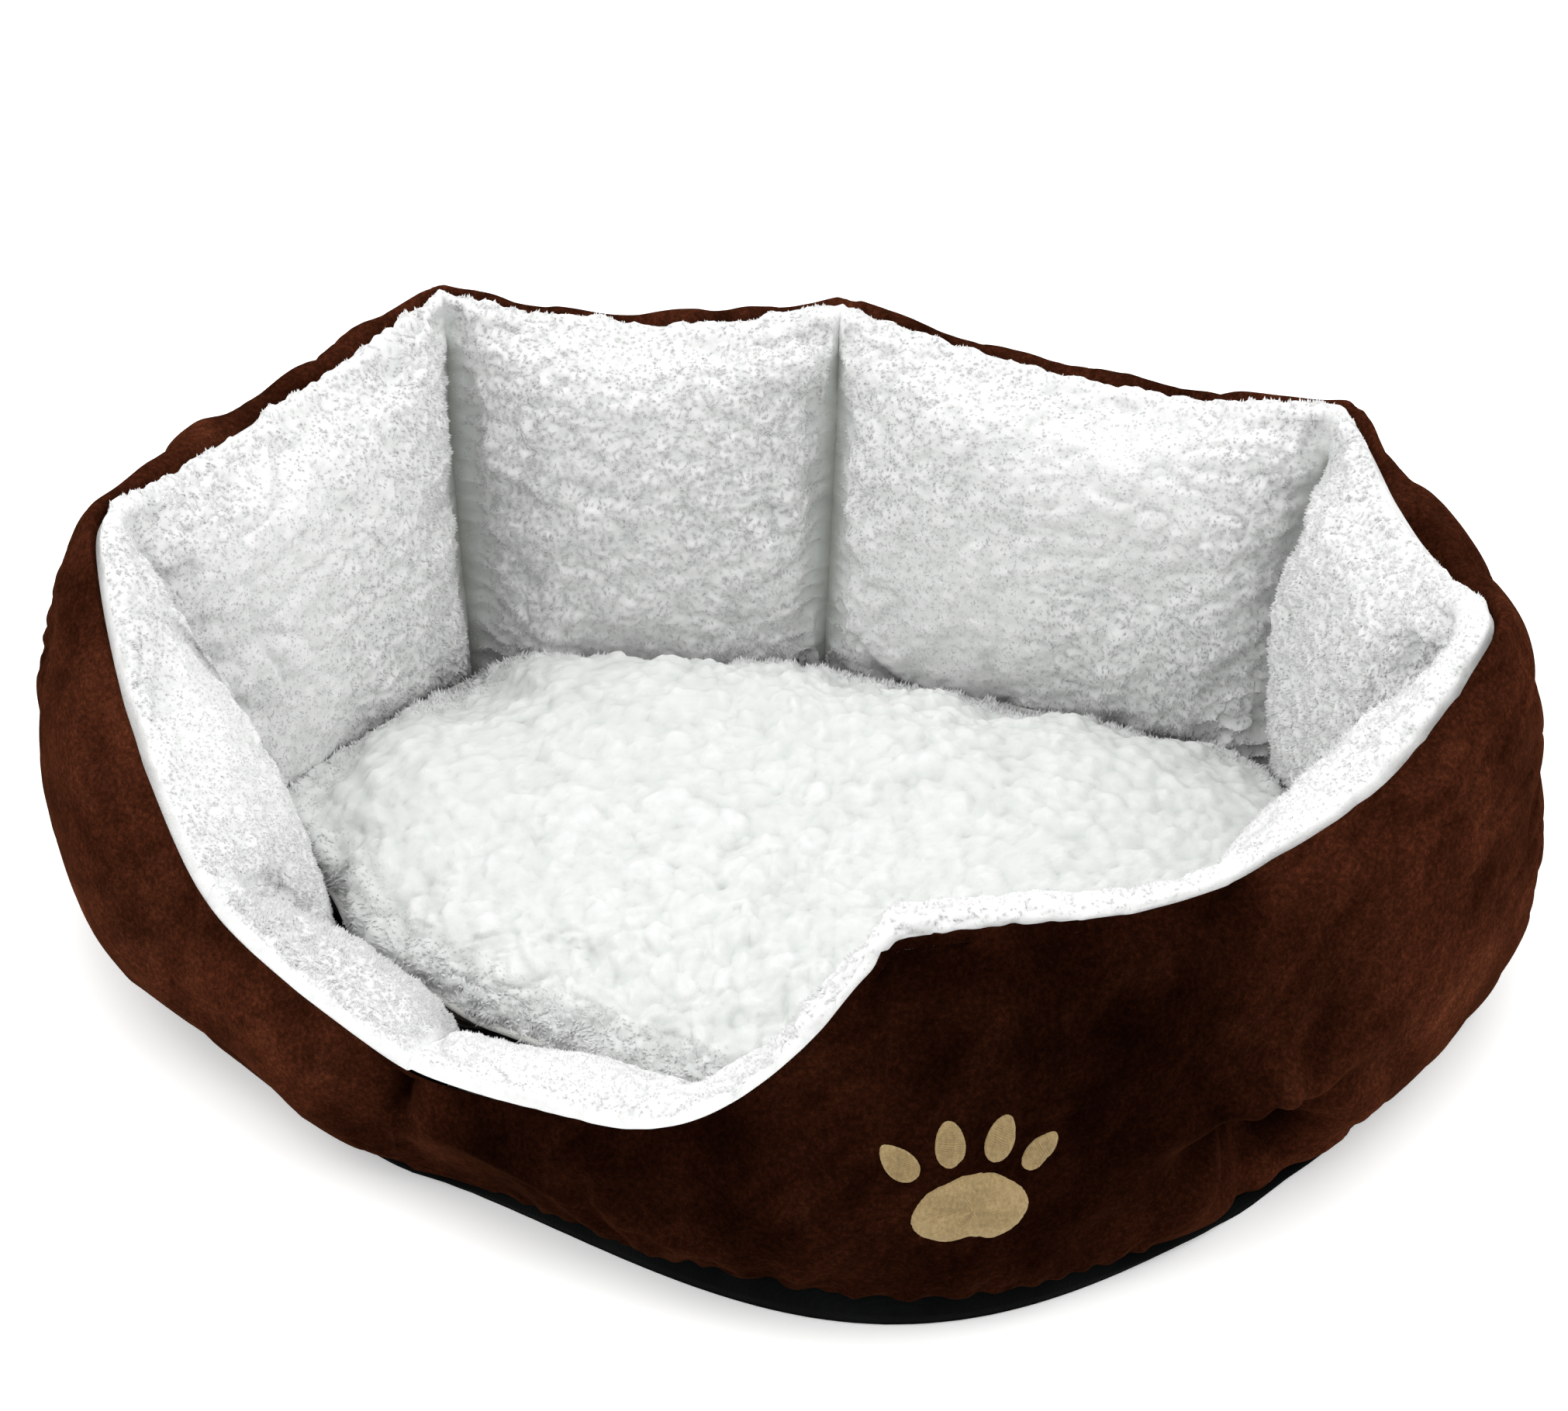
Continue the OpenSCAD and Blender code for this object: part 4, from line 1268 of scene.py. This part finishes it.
def pad_outline(t):
    x = 0.5 * PAD_W * np.cos(t) * (1 - 0.12 * np.sin(t))
    y = 0.36 * PAD_W * np.sin(t)
    notch = 0.075 * PAD_W * bell(x, 0.13 * PAD_W) * (np.sin(t) < 0)
    return x, y + notch


def toe_outline(t, length, width):
    return width * PAD_W * np.cos(t) * (1 - 0.14 * np.sin(t)), length * PAD_W * np.sin(t)


def patch(tree, frame_at, outline_xy, stitch):
    """A satin-stitched patch: rings from its middle to its edge, laid on the suede."""
    origin, across, up, out = frame_at
    x, y = outline_xy
    count, rings = len(x), 26
    points = [[0.0, 0.0]]
    for r in range(1, rings + 1):
        points += np.column_stack([x, y]).tolist() if r == rings else (
            np.column_stack([x, y]) * r / rings).tolist()
    points = np.array(points)
    rho = np.concatenate([[0], np.repeat(np.arange(1, rings + 1) / rings, count)])
    way = np.array([math.cos(stitch), math.sin(stitch)])
    phase = points @ way / THREAD
    grain = noise(np.column_stack([phase * 0.7, points @ np.array([-way[1], way[0]]) / 0.004,
                                   phase * 0]), 1.0, 95)
    high = (0.55 + 0.22 * np.sin(2 * math.pi * phase) + 0.15 * grain) * MM
    high = 0.35 * MM + high * np.sqrt(np.maximum(0, 1 - rho ** 6)) - 0.6 * MM * (rho >= 1)
    laid = []
    for (a, b), h in zip(points, high):
        start = Vector(origin + across * a + up * b + out * 0.05)
        hit = tree.ray_cast(start, Vector(-out), 0.12)[0]
        if hit is None:
            hit = start - Vector(out) * 0.05
        laid.append(np.array(hit) + out * h)
    faces = [[0, 1 + j, 1 + (j + 1) % count] for j in range(count)]
    for r in range(rings - 1):
        a, b = 1 + r * count, 1 + (r + 1) * count
        faces += [[a + j, b + j, b + (j + 1) % count, a + (j + 1) % count]
                  for j in range(count)]
    return np.array(laid), faces


def paw(front):
    nu, nv = front.shape[:2]
    tree = BVHTree.FromPolygons(front.reshape(-1, 3).tolist(), grid_faces(nu, nv).tolist())
    lo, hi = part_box("paw_pad")
    middle = (np.array(lo) + np.array(hi)) / 2
    i, j = np.unravel_index(np.linalg.norm(front - middle, axis=-1).argmin(), (nu, nv))
    w = 14
    across = unit(front[i + w, j] - front[i - w, j])
    up = unit(front[i, j + w] - front[i, j - w])
    out = unit(np.cross(across, up))
    up = np.cross(out, across)
    origin = front[i, j]
    t = np.linspace(0, 2 * math.pi, 145)[:-1]
    ragged = 1 + 0.012 * noise(np.column_stack([np.cos(t), np.sin(t), t * 0]), 0.06, 96)
    x, y = pad_outline(t)
    points, faces = patch(tree, (origin, across, up, out), (x * ragged, y * ragged), 0.5)
    obj = new_object("paw_pad_stitching", points, faces)
    finished(obj, EMBROIDERY, "bed", "embroidery", "paw_pad")
    every, all_faces, first = [], [], 0
    for dx, dy, lean, length, width in TOES:
        x, y = toe_outline(t, length, width)
        x, y = x * ragged, y * ragged
        c, s = math.cos(math.radians(lean)), math.sin(math.radians(lean))
        turned = (dx * PAD_W + x * c - y * s, dy * PAD_W + x * s + y * c)
        centre = np.array([dx, dy]) * PAD_W
        place = origin + across * centre[0] + up * centre[1]
        flat = (turned[0] - centre[0], turned[1] - centre[1])
        points, faces = patch(tree, (place, across, up, out), flat, math.radians(lean) + 1.2)
        every.append(points)
        all_faces += moved(faces, first)
        first += len(points)
    obj = new_object("paw_toes_stitching", np.concatenate(every), all_faces)
    finished(obj, EMBROIDERY, "bed", "embroidery", "paw_toes")


# ---------------------------------------------------------------- build everything
grids = [chamber_grid(k) for k in range(N)]
mat_top, mat_low = mat_halves()
grids, mat_top, mat_low = swell_by_cloth(grids, mat_top, mat_low)
grids = [puckered(k, g) for k, g in enumerate(eased(grids))]
for k in range(N):
    surface = suede_panel(k, grids[k])
    if k == FRONT:
        paw(surface)
    fleece_panel(k, grids[k])
    fill_piece(k, grids[k])
corner_seams(grids)
sheet, sheet_ring = base_sheet()
band = base_band(grids)
floor_pieces()
mat_outline = fitted_ring(grids)
mat_top = refitted(mat_top, design_ring(), mat_outline)
mat_low = refitted(mat_low, design_ring(), mat_outline)
mat_pieces(mat_top, mat_low, mat_outline)


# ---------------------------------------------------------------- stage, light, camera
FLOOR_HALF, FLOOR_GLOW, WORLD_LIGHT = 14.0, 0.28, 0.85
# Soft round lights: name, place, diameter, watts. All aim at the middle of the bed.
LIGHTS = [("top", (0.1, -0.1, 2.6), 3.2, 34),
          ("left", (-2.0, -0.4, 1.7), 2.4, 22),
          ("right", (2.0, -0.4, 1.7), 2.4, 19)]
LIGHT_AIM = (0, 0, 0.08)
ELEVATION, DISTANCE, AIM_Y, LENS = math.radians(35), 2.0, 0.175, 104.6


def stage():
    half = FLOOR_HALF
    floor = new_object("studio_floor", np.array([
        [-half, -half, 0], [half, -half, 0], [half, half, 0], [-half, half, 0]]), [[0, 1, 2, 3]])
    mat = bpy.data.materials.new("studio_floor")
    mat.use_nodes = True
    bsdf = mat.node_tree.nodes["Principled BSDF"]
    bsdf.inputs["Base Color"].default_value = (0.93, 0.93, 0.92, 1)
    bsdf.inputs["Roughness"].default_value = 0.95
    bsdf.inputs["Emission Color"].default_value = (1, 1, 1, 1)
    bsdf.inputs["Emission Strength"].default_value = FLOOR_GLOW
    floor.data.materials.append(mat)
    world = bpy.data.worlds.new("studio")
    world.use_nodes = True
    sky = world.node_tree.nodes["Background"]
    sky.inputs["Color"].default_value = (1, 1, 1, 1)
    sky.inputs["Strength"].default_value = WORLD_LIGHT
    bpy.context.scene.world = world
    bpy.context.scene.view_settings.view_transform = "Standard"


def area_light(name, place, size, watts):
    data = bpy.data.lights.new(name, "AREA")
    data.shape = "DISK"
    data.size = size
    data.energy = watts
    lamp = bpy.data.objects.new(name, data)
    lamp.location = place
    lamp.rotation_mode = "QUATERNION"
    aim = Vector(LIGHT_AIM) - Vector(place)
    lamp.rotation_quaternion = aim.to_track_quat("-Z", "Y")
    bpy.context.scene.collection.objects.link(lamp)


def camera():
    data = bpy.data.cameras.new("camera")
    data.sensor_width = 36
    data.lens = LENS
    cam = bpy.data.objects.new("camera", data)
    cam.location = (0, AIM_Y - DISTANCE * math.cos(ELEVATION), DISTANCE * math.sin(ELEVATION))
    cam.rotation_euler = (math.pi / 2 - ELEVATION, 0, 0)
    bpy.context.scene.collection.objects.link(cam)
    bpy.context.scene.camera = cam


stage()
for light in LIGHTS:
    area_light(*light)
camera()
